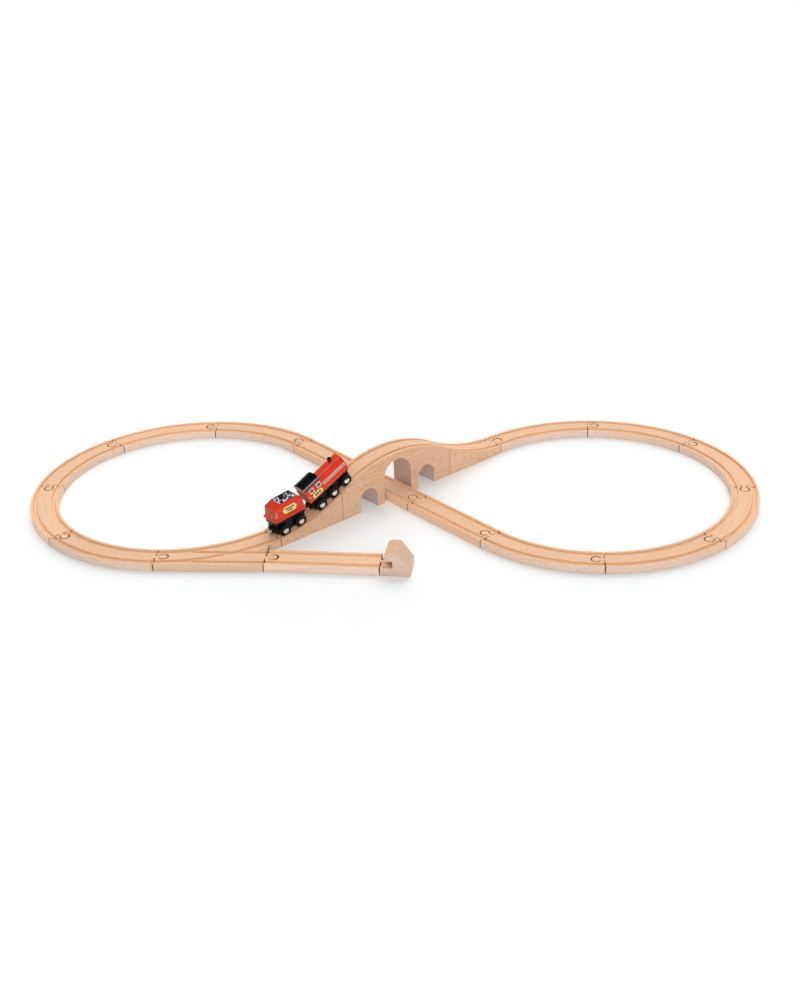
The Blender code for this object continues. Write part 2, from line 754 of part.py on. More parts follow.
def chimney_mesh():
    profile = (
        (0, CHIMNEY_HEIGHT),
        (CHIMNEY_RADIUS, CHIMNEY_HEIGHT),
        (CHIMNEY_RADIUS, CLEARANCE),
        (SPIGOT_RADIUS, CLEARANCE),
        (SPIGOT_RADIUS, -SPIGOT_DEPTH),
        (0, -SPIGOT_DEPTH),
    )
    return turned(profile, AXLE_STEPS)


def section_corners(section):
    """A tender section's corners in one order, as XYZ points."""
    height, rear, front, half_width = section
    xs = (rear, front, front, rear)
    ys = (-half_width, -half_width, half_width, half_width)
    return [Vector((x, y, height)) for x, y in zip(xs, ys)]


def tender_body_mesh():
    """A box that flares into a skirt below and slopes in on all four sides above."""
    mesh = bpy.data.meshes.new("tender_body")
    bm = bmesh.new()
    below = [bm.verts.new(point) for point in section_corners(TENDER_SECTIONS[0])]
    bm.faces.new(below)
    for section in TENDER_SECTIONS[1:]:
        above = [bm.verts.new(point) for point in section_corners(section)]
        for i in range(4):
            j = (i + 1) % 4
            bm.faces.new((below[i], below[j], above[j], above[i]))
        below = above
    bm.faces.new(below)
    bmesh.ops.recalc_face_normals(bm, faces=bm.faces)
    bm.to_mesh(mesh)
    bm.free()
    return mesh


# Where the vehicles stand. The plane of the bridge leg: distance from the ramp's foot, height.


def crossing_of_circles(centre, radius, other, other_radius):
    """The crossing of two circles that lies further along the leg."""
    between = other - centre
    distance = between.length
    along = (distance**2 + radius**2 - other_radius**2) / (2 * distance)
    across = math.sqrt(radius**2 - along**2)
    unit = between / distance
    normal = Vector((-unit.y, unit.x))
    found = [centre + unit * along + normal * side * across for side in (-1, 1)]
    return max(found, key=lambda point: point.x)


def ramp_axle(distance):
    """Where an axle's middle is, with its wheels standing on the ramp's concave arc."""
    drop = GROOVE_DEPTH - WHEEL_RADIUS - WHEEL_RIDE
    return Vector((distance, ramp_height(distance, drop)))


def axle_ahead(rear, wheelbase, on_deck):
    """The axle one wheelbase ahead, on the bridge's convex arc or still on the ramp."""
    if on_deck:
        centre = Vector((LEG_LENGTH / 2, DECK_TOP - DECK_RADIUS))
        radius = DECK_RADIUS - GROOVE_DEPTH + WHEEL_RADIUS + WHEEL_RIDE
    else:
        centre = Vector((-RAMP_CENTRE_BACK, RAMP_CENTRE_UP))
        radius = RAMP_RADIUS + GROOVE_DEPTH - WHEEL_RADIUS - WHEEL_RIDE
    return crossing_of_circles(rear, wheelbase, centre, radius)


def standing_frame(name, rear, front, tilt=0.0):
    """An empty for a vehicle whose rear and front axles stand at these points."""
    slope = math.atan2(front.y - rear.y, front.x - rear.x) - tilt
    middle = (rear + front) / 2
    foot = -LEG_LENGTH / 2 * math.sqrt(0.5)
    leg = heading_matrix(foot, foot, math.radians(45))
    on_leg = Matrix.Translation((middle.x, 0, middle.y))
    climb = Matrix.Rotation(-slope, 4, "Y")
    empty = bpy.data.objects.new(name, None)
    parts.objects.link(empty)
    down = Matrix.Translation((0, 0, -WHEEL_RADIUS))
    empty.matrix_world = leg @ on_leg @ climb @ down
    return empty


def axle_places(ends, spacing, tilt):
    """Each axle's place in a vehicle that lies flatter than their line, from rear to front."""
    places = {}
    for end, steps in ends.items():
        x = steps * spacing * math.cos(tilt)
        places[end] = (x, WHEEL_RADIUS + steps * spacing * math.sin(tilt))
    return places


def build_engine(wheel, axle):
    rear = ramp_axle(ENGINE_REAR_AXLE)
    front = axle_ahead(rear, 2 * ENGINE_AXLE_SPACING, on_deck=True)
    frame = standing_frame("engine_frame", rear, front, ENGINE_TILT)
    ends = {"rear": -1, "middle": 0, "front": 1}
    axles = axle_places(ends, ENGINE_AXLE_SPACING, ENGINE_TILT)
    shape = (ENGINE_REAR, ENGINE_FRONT, ENGINE_SOLE_TOP, axles.values(), [-1])
    place("engine_chassis", chassis_mesh(*shape), BLACK_PLASTIC, parent=frame)
    place("engine_boiler", boiler_mesh(), RED_PAINT, parent=frame)
    place("engine_cab", cab_mesh(), RED_PAINT, parent=frame)
    place("engine_roof", roof_mesh(), BLACK_PAINT, parent=frame)
    top = Matrix.Translation((CHIMNEY_PLACE, 0, BOILER_TOP))
    place("engine_chimney", chimney_mesh(), BLACK_PAINT, top, frame)
    for end, at in axles.items():
        add_wheelset("engine", end, at, wheel, axle, frame)
    add_coupling("engine_rear", stub_end(ENGINE_REAR, ENGINE_FRONT, -1), frame)


def build_tender(wheel, axle):
    rear = ramp_axle(TENDER_REAR_AXLE)
    front = axle_ahead(rear, 2 * TENDER_AXLE_HALF, on_deck=False)
    frame = standing_frame("tender_frame", rear, front, TENDER_TILT)
    axles = axle_places({"rear": -1, "front": 1}, TENDER_AXLE_HALF, TENDER_TILT)
    shape = (TENDER_REAR, TENDER_FRONT, TENDER_SOLE_TOP, axles.values(), [-1, 1])
    place("tender_chassis", chassis_mesh(*shape), BLACK_PLASTIC, parent=frame)
    place("tender_body", tender_body_mesh(), RED_PAINT, parent=frame)
    top = TENDER_SECTIONS[-1][0] + CLEARANCE
    coal = box(
        (COAL_REAR, -COAL_HALF_WIDTH, top),
        (COAL_FRONT, COAL_HALF_WIDTH, top + COAL_THICKNESS),
    )
    place("tender_coal", coal, COAL, parent=frame)
    for end, at in axles.items():
        add_wheelset("tender", end, at, wheel, axle, frame)
    for end, side in (("rear", -1), ("front", 1)):
        face = stub_end(TENDER_REAR, TENDER_FRONT, side)
        add_coupling(f"tender_{end}", face, frame)


def shade_round_pieces():
    """Smooth shading, with the edges between flat faces kept sharp."""
    for mesh in {obj.data for obj in parts.objects if obj.type == "MESH"}:
        mesh.shade_smooth()
        mesh.set_sharp_from_angle(angle=math.radians(31))


clear_scene()
parts = make_collection("wooden_train_set")
cutters = make_collection("cutters")
build_track()
wheel_shape = wheel_mesh()
axle_shape = axle_mesh()
build_engine(wheel_shape, axle_shape)
build_tender(wheel_shape, axle_shape)
shade_round_pieces()
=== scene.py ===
"""Looks of a wooden train set: grooved beech track, an arched bridge, an engine and its tender.

Metres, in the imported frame: +Z up, the origin on the floor under the middle of the bridge. Each
piece is a finer model of one CAD node, in the same place, and rides on that node's body.
"""

import json
import math

import bmesh
import bpy
from mathutils import Matrix, Vector, noise

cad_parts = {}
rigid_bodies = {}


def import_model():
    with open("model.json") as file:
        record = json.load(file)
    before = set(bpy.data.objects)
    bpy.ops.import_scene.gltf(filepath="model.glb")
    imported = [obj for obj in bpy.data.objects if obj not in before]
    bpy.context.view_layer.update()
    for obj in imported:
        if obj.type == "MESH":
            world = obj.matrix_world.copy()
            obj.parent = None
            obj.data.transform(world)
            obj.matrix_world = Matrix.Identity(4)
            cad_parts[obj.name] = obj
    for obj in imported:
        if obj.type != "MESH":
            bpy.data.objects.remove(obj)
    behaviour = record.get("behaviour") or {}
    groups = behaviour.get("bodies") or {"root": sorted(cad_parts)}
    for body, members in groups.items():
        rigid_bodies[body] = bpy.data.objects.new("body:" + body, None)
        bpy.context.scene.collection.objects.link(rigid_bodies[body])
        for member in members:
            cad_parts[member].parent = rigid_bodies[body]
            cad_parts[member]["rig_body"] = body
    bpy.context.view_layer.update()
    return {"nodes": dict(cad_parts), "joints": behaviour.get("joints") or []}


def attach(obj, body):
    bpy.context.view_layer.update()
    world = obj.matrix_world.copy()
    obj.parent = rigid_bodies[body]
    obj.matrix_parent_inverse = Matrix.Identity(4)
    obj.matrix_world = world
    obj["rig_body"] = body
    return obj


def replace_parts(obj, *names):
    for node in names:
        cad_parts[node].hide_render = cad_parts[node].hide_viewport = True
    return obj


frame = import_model()

MM = 0.001
INCH = 0.0254

# Track section and joints
TRACK_HALF_WIDTH = 20 * MM
TRACK_THICKNESS = 12 * MM
GROOVE_WIDTH = 6 * MM
GROOVE_DEPTH = 3 * MM
GROOVE_OFFSET = 13 * MM  # from the track's middle line to a groove's middle line
HALF_GAP = 0.5 * MM  # from the joint plane to a piece's end face
PEG_CENTRE = 11 * MM
PEG_RADIUS = 6 * MM
PEG_NECK = 3 * MM  # half the neck's width
SLOT_PLAY = 1.2 * MM
PEG_LIFT = 0.3 * MM  # a low peg starts this far above the floor
HEAD_STEPS = 20
EDGE_ROUNDING = 0.7 * MM
LIP_ROUNDING = 0.45 * MM  # where grooves and joints come close together

# Track pieces
CURVE_RADIUS = 8.5 * INCH
CURVE_ANGLE = math.radians(45)
CURVE_STEPS = 28
STRAIGHT = 6 * INCH
SHORT_STRAIGHT = 5 * INCH
SPUR_STRAIGHT = 6.25 * INCH
CROTCH_SLIT = (12 * MM, 3 * MM)  # length and width, where the switch's legs part
LEG_LENGTH = 2 * CURVE_RADIUS
BRIDGE_LENGTH = 210 * MM
RAMP_LENGTH = (LEG_LENGTH - BRIDGE_LENGTH) / 2
SPUR_TURN = math.radians(-3)
BUFFER_TURN = math.radians(-1.5)
SPUR_PULL = 0.9 * MM

# Bridge and ramps
RAMP_TOP = 43.5 * MM
FOOT_SLOPE = math.radians(4)
TOP_SLOPE = 2 * math.atan((RAMP_TOP - TRACK_THICKNESS) / RAMP_LENGTH) - FOOT_SLOPE
RAMP_RADIUS = RAMP_LENGTH / (math.sin(TOP_SLOPE) - math.sin(FOOT_SLOPE))
RAMP_CENTRE_BACK = RAMP_RADIUS * math.sin(FOOT_SLOPE)
RAMP_CENTRE_UP = TRACK_THICKNESS + RAMP_RADIUS * math.cos(FOOT_SLOPE)
DECK_SLOPE = math.radians(31.7)
DECK_RADIUS = BRIDGE_LENGTH / 2 / math.sin(DECK_SLOPE)
DECK_TOP = RAMP_TOP + BRIDGE_LENGTH / 2 * math.tan(DECK_SLOPE / 2)
DECK_STEPS = 48
RAMP_STEPS = 24
MAIN_ARCH = (0.0, 26 * MM, 37 * MM)  # place, half width, height where its curve starts
SIDE_ARCH_PLACE = 56 * MM
SIDE_ARCH = (16 * MM, 18 * MM)
ARCH_STEPS = 28
RAMP_PEG_HEIGHT = 16 * MM
FOOT_PEG_HEIGHT = 11.4 * MM

# Buffer stop
BUFFER_LENGTH = 41 * MM
BUFFER_NOSE = 7 * MM
BUFFER_NOTCH = 10.5 * MM
BUFFER_HEIGHT = 34 * MM
BUFFER_TOP = (13.5 * MM, 24.5 * MM)
BUFFER_BACK_HEIGHT = 10 * MM

# Running gear
WHEEL_RADIUS = 9 * MM
WHEEL_WIDTH = 4.5 * MM
BORE = 1.9 * MM
AXLE_RADIUS = 1.5 * MM
CAP_RADIUS = 4.75 * MM
CAP_START = 15.6 * MM
CAP_HEIGHT = 2.1 * MM
CLEARANCE = 0.3 * MM
KEEL_HALF_WIDTH = 9.8 * MM
KEEL_BOTTOM = 5 * MM
KEEL_INSET = 2.2 * MM
SOLE_BOTTOM = 19.3 * MM
SOLE_HALF_WIDTH = 11.6 * MM
MAGNET_RADIUS = 4.75 * MM
MAGNET_THICKNESS = 3.2 * MM
MAGNET_HEIGHT = 11.5 * MM
MAGNET_BORE = 1.2 * MM
RIVET_RADIUS = 0.8 * MM
RIVET_HEAD = 2.2 * MM
RIVET_DEPTH = 3 * MM
STUB_HALF_WIDTH = 4 * MM
STUB_LENGTH = 2.4 * MM
ROUND_STEPS = 48

# Engine
ENGINE_REAR = -38.5 * MM
ENGINE_FRONT = 38 * MM
ENGINE_SOLE_TOP = 21.5 * MM
BOILER_HALF_WIDTH = 12.4 * MM
BOILER_TOP = 45.8 * MM
BOILER_ROUND = 11.5 * MM
CAB_FRONT = -8.2 * MM
CAB_HALF_WIDTH = 12 * MM
ROOF_HALF_WIDTH = 12.3 * MM
ROOF_EDGE = 44.4 * MM
ROOF_RISE = 3.6 * MM
ROOF_THICKNESS = 2.4 * MM
ROOF_OVERHANG = 0.4 * MM
CHIMNEY_PLACE = 24 * MM
CHIMNEY_RADIUS = 3.1 * MM
CHIMNEY_HEIGHT = 5 * MM

# Tender
TENDER_REAR = -27.4 * MM
TENDER_FRONT = 25.4 * MM
TENDER_SOLE_TOP = 25.3 * MM
TENDER_SECTIONS = (  # height, rear, front, half width
    (25.6 * MM, TENDER_REAR, TENDER_FRONT, 15.4 * MM),
    (27.2 * MM, TENDER_REAR, TENDER_FRONT, 15.4 * MM),
    (30.8 * MM, -25 * MM, 24.6 * MM, 13.6 * MM),
    (43.6 * MM, -23.4 * MM, 23.6 * MM, 13.2 * MM),
    (49 * MM, -14 * MM, 18.8 * MM, 11 * MM),
)
COAL_REAR = -12.8 * MM
COAL_FRONT = 17.4 * MM
COAL_HALF_WIDTH = 9.8 * MM
COAL_THICKNESS = 2 * MM

FILM = 0.12 * MM  # how far a printed panel stands proud
HUG = 0.3 * MM  # how deep it is let in
BOILER_BAND = (33.8 * MM, 4.2 * MM)  # height of its middle, width
BOILER_LINES = (35.3 * MM, 32.3 * MM)
WINDOWS = ((-27.7 * MM, 38.1 * MM), (-14.3 * MM, 38.1 * MM))
WINDOW_FRAME = 7.8 * MM
WINDOW_PANE = 5.4 * MM
CAB_PLATE = (-21 * MM, 27.6 * MM, 20 * MM, 7.8 * MM)  # middle, width, height
TENDER_PLATE = (0.2 * MM, 37.5 * MM, 24.5 * MM, 10 * MM)

WELD = 0.002 * MM  # points this close become one
FLOOR_WIDTH = 60

nodes = frame["nodes"]


# Mesh helpers


def in_scene(name, data):
    """A new object in the scene."""
    obj = bpy.data.objects.new(name, data)
    bpy.context.scene.collection.objects.link(obj)
    return obj


def from_object(obj):
    """The object's evaluated mesh, welded and facing out. The object itself is removed."""
    bpy.context.view_layer.update()
    graph = bpy.context.evaluated_depsgraph_get()
    mesh = bpy.data.meshes.new_from_object(obj.evaluated_get(graph))
    mesh.transform(obj.matrix_world)
    bm = bmesh.new()
    bm.from_mesh(mesh)
    bmesh.ops.remove_doubles(bm, verts=bm.verts, dist=WELD)
    bmesh.ops.recalc_face_normals(bm, faces=bm.faces)
    bm.to_mesh(mesh)
    bm.free()
    bpy.data.objects.remove(obj)
    return mesh


def outline_solid(points, low, high):
    """A closed solid from a flat outline in XY, reaching from height low to high."""
    curve = bpy.data.curves.new("outline", "CURVE")
    curve.dimensions = "2D"
    curve.fill_mode = "BOTH"
    curve.extrude = (high - low) / 2
    spline = curve.splines.new("POLY")
    spline.points.add(len(points) - 1)
    for target, (x, y) in zip(spline.points, points):
        target.co = (x, y, 0, 1)
    spline.use_cyclic_u = True
    obj = in_scene("outline", curve)
    obj.location.z = (low + high) / 2
    return from_object(obj)


def side_solid(points, half_width, middle=0.0):
    """The same, from an outline in XZ, half_width to each side of y = middle."""
    mesh = outline_solid(points, -half_width, half_width)
    turn = Matrix.Rotation(math.radians(90), 4, "X")
    mesh.transform(Matrix.Translation((0, middle, 0)) @ turn)
    return mesh


def end_solid(points, low, high):
    """The same, from an outline in YZ, reaching from x = low to high."""
    mesh = outline_solid(points, low, high)
    mesh.transform(Matrix(((0, 0, 1, 0), (1, 0, 0, 0), (0, 1, 0, 0), (0, 0, 0, 1))))
    return mesh


def box(low, high):
    (x, y, z), (far_x, far_y, top) = low, high
    return outline_solid([(x, y), (far_x, y), (far_x, far_y), (x, far_y)], z, top)


def turned(profile, axis, steps=ROUND_STEPS):
    """A solid of revolution from (radius, height) points, top to bottom, about an axis."""
    mesh = bpy.data.meshes.new("profile")
    edges = [(i, i + 1) for i in range(len(profile) - 1)]
    if profile[0][0] > 0:
        edges.append((len(profile) - 1, 0))
    mesh.from_pydata([(r, 0, z) for r, z in profile], edges, [])
    obj = in_scene("profile", mesh)
    screw = obj.modifiers.new("Screw", "SCREW")
    screw.axis = "Z"
    screw.angle = math.tau
    screw.steps = screw.render_steps = steps
    screw.use_merge_vertices = True
    screw.merge_threshold = 0.01 * MM
    mesh = from_object(obj)
    if axis != "Z":
        mesh.transform(Matrix.Rotation(math.radians(90), 4, "Y" if axis == "X" else "X"))
    return mesh


def rounded(centre, radius, start, steps=5):
    """Quarter-round profile points, 90 degrees clockwise from an angle in degrees."""
    return arc(centre, radius, math.radians(start), math.radians(start - 90), steps)


def combined(mesh, others, operation):
    """The mesh with each of the others cut from it or joined to it."""
    obj = in_scene("body", mesh)
    tools = []
    for other in others:
        tool = in_scene("tool", other)
        modifier = obj.modifiers.new("Boolean", "BOOLEAN")
        modifier.operation = operation
        modifier.solver = "EXACT"
        modifier.object = tool
        tools.append(tool)
    result = from_object(obj)
    for tool in tools:
        bpy.data.objects.remove(tool)
    return result


def cut(mesh, *others):
    return combined(mesh, others, "DIFFERENCE")


def joined(mesh, *others):
    return combined(mesh, others, "UNION")


def painted(mesh, materials, index):
    """The mesh with all of these materials to choose from and one of them on every face."""
    mesh.materials.clear()
    for material in materials:
        mesh.materials.append(material)
    mesh.polygons.foreach_set("material_index", [index] * len(mesh.polygons))
    return mesh


def grooved(mesh, tools, woods):
    """The mesh with grooves cut, whose faces take the second wood."""
    return cut(painted(mesh, woods, 0), *[painted(tool, woods, 1) for tool in tools])


def joint_gaps_shaded(mesh, joints):
    """The mesh with the third wood, a painted shade, on its pegs' and slots' walls, and the
    fifth, end grain darkened further by painted shade, on its ends.
    """
    reach = PEG_RADIUS + 2 * SLOT_PLAY
    for matrix in joints:
        to_joint = matrix.inverted()
        for face in mesh.polygons:
            place, normal = to_joint @ face.center, to_joint.to_3x3() @ face.normal
            if abs(normal.z) > 0.3:
                continue
            if (place.xy - Vector((PEG_CENTRE, 0))).length < reach:
                face.material_index = 2
            elif abs(place.x) < 2 * HALF_GAP and abs(normal.x) > 0.99:
                face.material_index = 4
    return mesh


def merged(meshes):
    """One mesh from several, each keeping its first material."""
    bm = bmesh.new()
    materials = []
    for mesh in meshes:
        material, start = mesh.materials[0], len(bm.faces)
        bm.from_mesh(mesh)
        bm.faces.ensure_lookup_table()
        if material not in materials:
            materials.append(material)
        for face in bm.faces[start:]:
            face.material_index = materials.index(material)
    result = bpy.data.meshes.new("merged")
    bm.to_mesh(result)
    bm.free()
    for material in materials:
        result.materials.append(material)
    return result


def coated(mesh, material):
    return painted(mesh, [material], 0)


def flat_parts_joined(mesh):
    """Joins the flat faces that a Boolean left split, so that edges bevel evenly."""
    bm = bmesh.new()
    bm.from_mesh(mesh)
    flat, whole = math.radians(0.1), {"verts": bm.verts, "edges": bm.edges}
    bmesh.ops.dissolve_limit(bm, angle_limit=flat, delimit={"MATERIAL"}, **whole)
    bm.to_mesh(mesh)
    bm.free()
    return mesh


# Pieces


def keep_places(mesh):
    """Notes each point's place in the piece's own frame, which the materials' grain follows."""
    places = mesh.attributes.new("place", "FLOAT_VECTOR", "POINT")
    numbers = [number for vert in mesh.vertices for number in vert.co]
    places.data.foreach_set("vector", numbers)


def piece(name, mesh, matrix, body, rounding=0.0, crease=30):
    """A shown piece that rides on a CAD body, its edges rounded."""
    mesh = mesh.copy()
    keep_places(mesh)
    mesh.transform(matrix)
    obj = in_scene(name, mesh)
    mesh.shade_smooth()
    if rounding:
        bevel = obj.modifiers.new("Bevel", "BEVEL")
        bevel.width = rounding
        bevel.segments = 3
        bevel.limit_method = "ANGLE"
        bevel.angle_limit = math.radians(crease)
        normals = obj.modifiers.new("WeightedNormal", "WEIGHTED_NORMAL")
        normals.keep_sharp = True
        normals.weight = 100
    else:
        mesh.set_sharp_from_angle(angle=math.radians(crease))
    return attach(obj, body)


def stand_in(node, mesh, matrix, rounding=0.0, crease=30):
    """The finished piece for a CAD node, riding on that node's body."""
    obj = piece(f"{node}_finished", mesh, matrix, nodes[node]["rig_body"], rounding, crease)
    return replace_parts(obj, node)


# Materials


def add(tree, kind, inputs=None, **settings):
    """A new shader node. An input takes a value, or another node's output to link to."""
    made = tree.nodes.new("ShaderNode" + kind)
    for key, value in settings.items():
        setattr(made, key, value)
    for key, value in (inputs or {}).items():
        if isinstance(value, bpy.types.NodeSocket):
            tree.links.new(value, made.inputs[key])
        else:
            made.inputs[key].default_value = value
    return made


def mixed(tree, factor, first, second, mode="MIX"):
    """A colour between two others, each a tuple or another node's output."""
    colours = [(*c, 1) if isinstance(c, tuple) else c for c in (first, second)]
    inputs = {0: factor, 6: colours[0], 7: colours[1]}
    return add(tree, "Mix", inputs, data_type="RGBA", blend_type=mode).outputs[2]


def speckle(tree, point, size, detail=2.0, distortion=0.0):
    """Noise with features of about this size along X, Y and Z."""
    scale = [1 / length for length in size]
    stretched = add(tree, "Mapping", {"Vector": point, "Scale": scale})
    inputs = {"Vector": stretched.outputs[0], "Scale": 1.0, "Detail": detail}
    return add(tree, "TexNoise", {**inputs, "Distortion": distortion}).outputs["Fac"]


def spread_between(tree, value, low, high, to_low=0.0, to_high=1.0):
    """A value stretched from one range to another and held within it."""
    inputs = {"Value": value, 1: low, 2: high, 3: to_low, 4: to_high}
    return add(tree, "MapRange", inputs).outputs[0]


def arithmetic(tree, operation, *values):
    return add(tree, "Math", dict(enumerate(values)), operation=operation).outputs[0]


def new_material(name, colour, **inputs):
    """A Principled material, its shader's inputs set by name with _ for each space."""
    material = bpy.data.materials.new(name)
    material.use_nodes = True
    material.diffuse_color = (*colour, 1)
    tree = material.node_tree
    shader = tree.nodes["Principled BSDF"]
    shader.inputs["Base Color"].default_value = (*colour, 1)
    for key, value in inputs.items():
        shader.inputs[key.replace("_", " ")].default_value = value
    return material, tree, shader


def feed(tree, shader, **outputs):
    """Links outputs to the shader's inputs, named with _ for each space."""
    for key, output in outputs.items():
        tree.links.new(output, shader.inputs[key.replace("_", " ")])


def roughen(tree, shader, height, distance):
    """Raises the surface by a small relief."""
    bump = add(tree, "Bump", {"Height": height, "Distance": distance, "Strength": 1.0})
    feed(tree, shader, Normal=bump.outputs[0])


def own_place(tree):
    """Where a point lies in its piece's own frame."""
    return add(tree, "Attribute", attribute_name="place").outputs["Vector"]


def scaled(colour, factor):
    return tuple(channel * factor for channel in colour)


def beech(name, top, side=None, grain_turn=0.0, contrast=1.0, flecks=0.5):
    """Clear-sealed beech with long grain, short flecks, a tone of its own on each piece, and
    upright faces in a side colour that is partly painted light.
    """
    side = side or top
    material, tree, shader = new_material(
        name, top, Roughness=0.52, Specular_IOR_Level=0.35, Coat_Weight=0.06, Coat_Roughness=0.35
    )
    chance = add(tree, "ObjectInfo").outputs["Random"]
    shift = arithmetic(tree, "MULTIPLY", chance, 5.3)
    shifts = add(tree, "CombineXYZ", {"X": shift, "Y": shift, "Z": shift})
    inputs = {"Vector": own_place(tree), "Location": shifts.outputs[0]}
    point = add(tree, "Mapping", {**inputs, "Rotation": (0, 0, -grain_turn)}).outputs[0]

    normal = add(tree, "NewGeometry").outputs["Normal"]
    facing = add(tree, "SeparateXYZ", {"Vector": normal})
    upward = arithmetic(tree, "ABSOLUTE", facing.outputs["Z"])
    # Upright faces take the side colour: partly the cut wood's own pinker tone, partly painted
    # light that makes them lighter where the lamps light them less.
    colour = mixed(tree, spread_between(tree, upward, 0.45, 0.75), side, top)

    broad = speckle(tree, point, (0.11, 0.011, 0.011), 3.0, 0.4)
    warm = (1.06, 0.97, 0.88)
    colour = mixed(tree, spread_between(tree, broad, 0.35, 0.7), colour, warm, "MULTIPLY")
    streak = speckle(tree, point, (0.055, 0.0016, 0.0016), 4.0, 0.25)
    brown = (0.78, 0.62, 0.50)
    share = spread_between(tree, streak, 0.48, 0.72, 0.0, 0.42 * contrast)
    colour = mixed(tree, share, colour, brown, "MULTIPLY")
    fleck = speckle(tree, point, (0.0045, 0.0011, 0.0011), 1.0)
    share = spread_between(tree, fleck, 0.62, 0.70, 0.0, flecks)
    colour = mixed(tree, share, colour, (0.60, 0.40, 0.28), "MULTIPLY")
    tone = spread_between(tree, chance, 0.0, 1.0, 0.93, 1.05)
    grey = add(tree, "CombineColor", {"Red": tone, "Green": tone, "Blue": tone})
    colour = mixed(tree, 1.0, colour, grey.outputs[0], "MULTIPLY")
    gloss = spread_between(tree, streak, 0.3, 0.7, 0.44, 0.62)
    feed(tree, shader, Base_Color=colour, Roughness=gloss)
    relief = arithmetic(tree, "SUBTRACT", streak, arithmetic(tree, "MULTIPLY", fleck, 0.6))
    roughen(tree, shader, relief, 0.12 * MM)
    return material


def lacquer(name, colour, roughness=0.34, coat=0.25, grain=0.05 * MM):
    """Paint on wood, glossy, with the grain just felt through it and a few worn spots."""
    material, tree, shader = new_material(
        name, colour, Specular_IOR_Level=0.3, Coat_Weight=coat, Coat_Roughness=0.12
    )
    point = own_place(tree)
    cloud = spread_between(tree, speckle(tree, point, (0.012, 0.006, 0.006), 3.0), 0.3, 0.7)
    tint = mixed(tree, cloud, scaled(colour, 0.86), scaled(colour, 1.1))
    fibre = speckle(tree, point, (0.018, 0.0006, 0.0006), 3.0)
    gloss = spread_between(tree, fibre, 0.3, 0.75, roughness * 0.85, roughness * 1.25)
    feed(tree, shader, Base_Color=tint, Roughness=gloss)
    roughen(tree, shader, fibre, grain)
    return material


def moulded(name, colour, roughness=0.36):
    """Black plastic with a fine mould texture and scuffs that catch the light, their lighter
    bluish grey partly a painted sheen.
    """
    material, tree, shader = new_material(name, colour, Specular_IOR_Level=0.22)
    point = own_place(tree)
    scuff_and_sheen = speckle(tree, point, (0.004, 0.0012, 0.0012), 4.0, 0.6)
    # Scuffed patches turn lighter bluish grey: partly wear, partly a painted sheen.
    share = spread_between(tree, scuff_and_sheen, 0.52, 0.78, 0.0, 0.5)
    tint = mixed(tree, share, colour, (0.030, 0.031, 0.035))
    gloss = spread_between(tree, scuff_and_sheen, 0.3, 0.7, roughness * 0.8, roughness * 1.3)
    feed(tree, shader, Base_Color=tint, Roughness=gloss)
    pebble = speckle(tree, point, (0.0004, 0.0004, 0.0004), 1.0)
    roughen(tree, shader, pebble, 0.02 * MM)
    return material


def plated(name, colour, roughness=0.13):
    """Bright nickel plate with faint rubbing."""
    material, tree, shader = new_material(name, colour, Metallic=1.0)
    rub = speckle(tree, own_place(tree), (0.003, 0.0004, 0.003), 3.0)
    gloss = spread_between(tree, rub, 0.35, 0.75, roughness * 0.6, roughness * 2.0)
    tint = mixed(tree, spread_between(tree, rub, 0.4, 0.7), scaled(colour, 0.88), colour)
    feed(tree, shader, Base_Color=tint, Roughness=gloss)
    return material


def print_ink(name, colour, fade, roughness=0.4):
    """A printed film, mottled towards a second colour."""
    material, tree, shader = new_material(
        name, colour, Roughness=roughness, Coat_Weight=0.3, Coat_Roughness=0.2
    )
    mottle = speckle(tree, own_place(tree), (0.0025, 0.0025, 0.0025), 3.0)
    share = spread_between(tree, mottle, 0.35, 0.75)
    feed(tree, shader, Base_Color=mixed(tree, share, colour, fade))
    return material


def coal_lumps(name):
    """Black coal with irregular facets painted white and lilac as highlights."""
    material, tree, shader = new_material(name, (0.012, 0.012, 0.016), Roughness=0.3)
    coordinates = own_place(tree)
    wobble = add(tree, "TexNoise", {"Vector": coordinates, "Scale": 260.0}).outputs["Color"]
    bend = add(tree, "VectorMath", {0: wobble, "Scale": 0.0035}, operation="SCALE").outputs[0]
    point = add(tree, "VectorMath", {0: coordinates, 1: bend}, operation="ADD").outputs[0]
    inputs = {"Vector": point, "Scale": 280.0, "Randomness": 1.0}
    cells = add(tree, "TexVoronoi", inputs, feature="DISTANCE_TO_EDGE")
    tones = add(tree, "TexVoronoi", inputs)
    facet = spread_between(tree, cells.outputs["Distance"], 0.07, 0.10)
    chance = add(tree, "SeparateColor", {"Color": tones.outputs["Color"]})
    # Random facets take a painted highlight in white and lilac.
    painted_highlight = spread_between(tree, chance.outputs["Red"], 0.42, 0.46)
    share = arithmetic(tree, "MULTIPLY", facet, painted_highlight)
    light = mixed(tree, chance.outputs["Green"], (1.0, 0.98, 1.0), (0.70, 0.62, 0.84))
    feed(tree, shader, Base_Color=mixed(tree, share, (0.012, 0.012, 0.016), light))
    return material


TOP = (0.88, 0.57, 0.375)
# The side colours are partly the wood's own tone and partly painted light, lighter than the wood
# for upright faces.
SIDE = (0.92, 0.69, 0.57)
WARM_SIDE = (0.90, 0.61, 0.42)
RED = (0.80, 0.050, 0.015)
BLACK = (0.004, 0.0038, 0.0045)

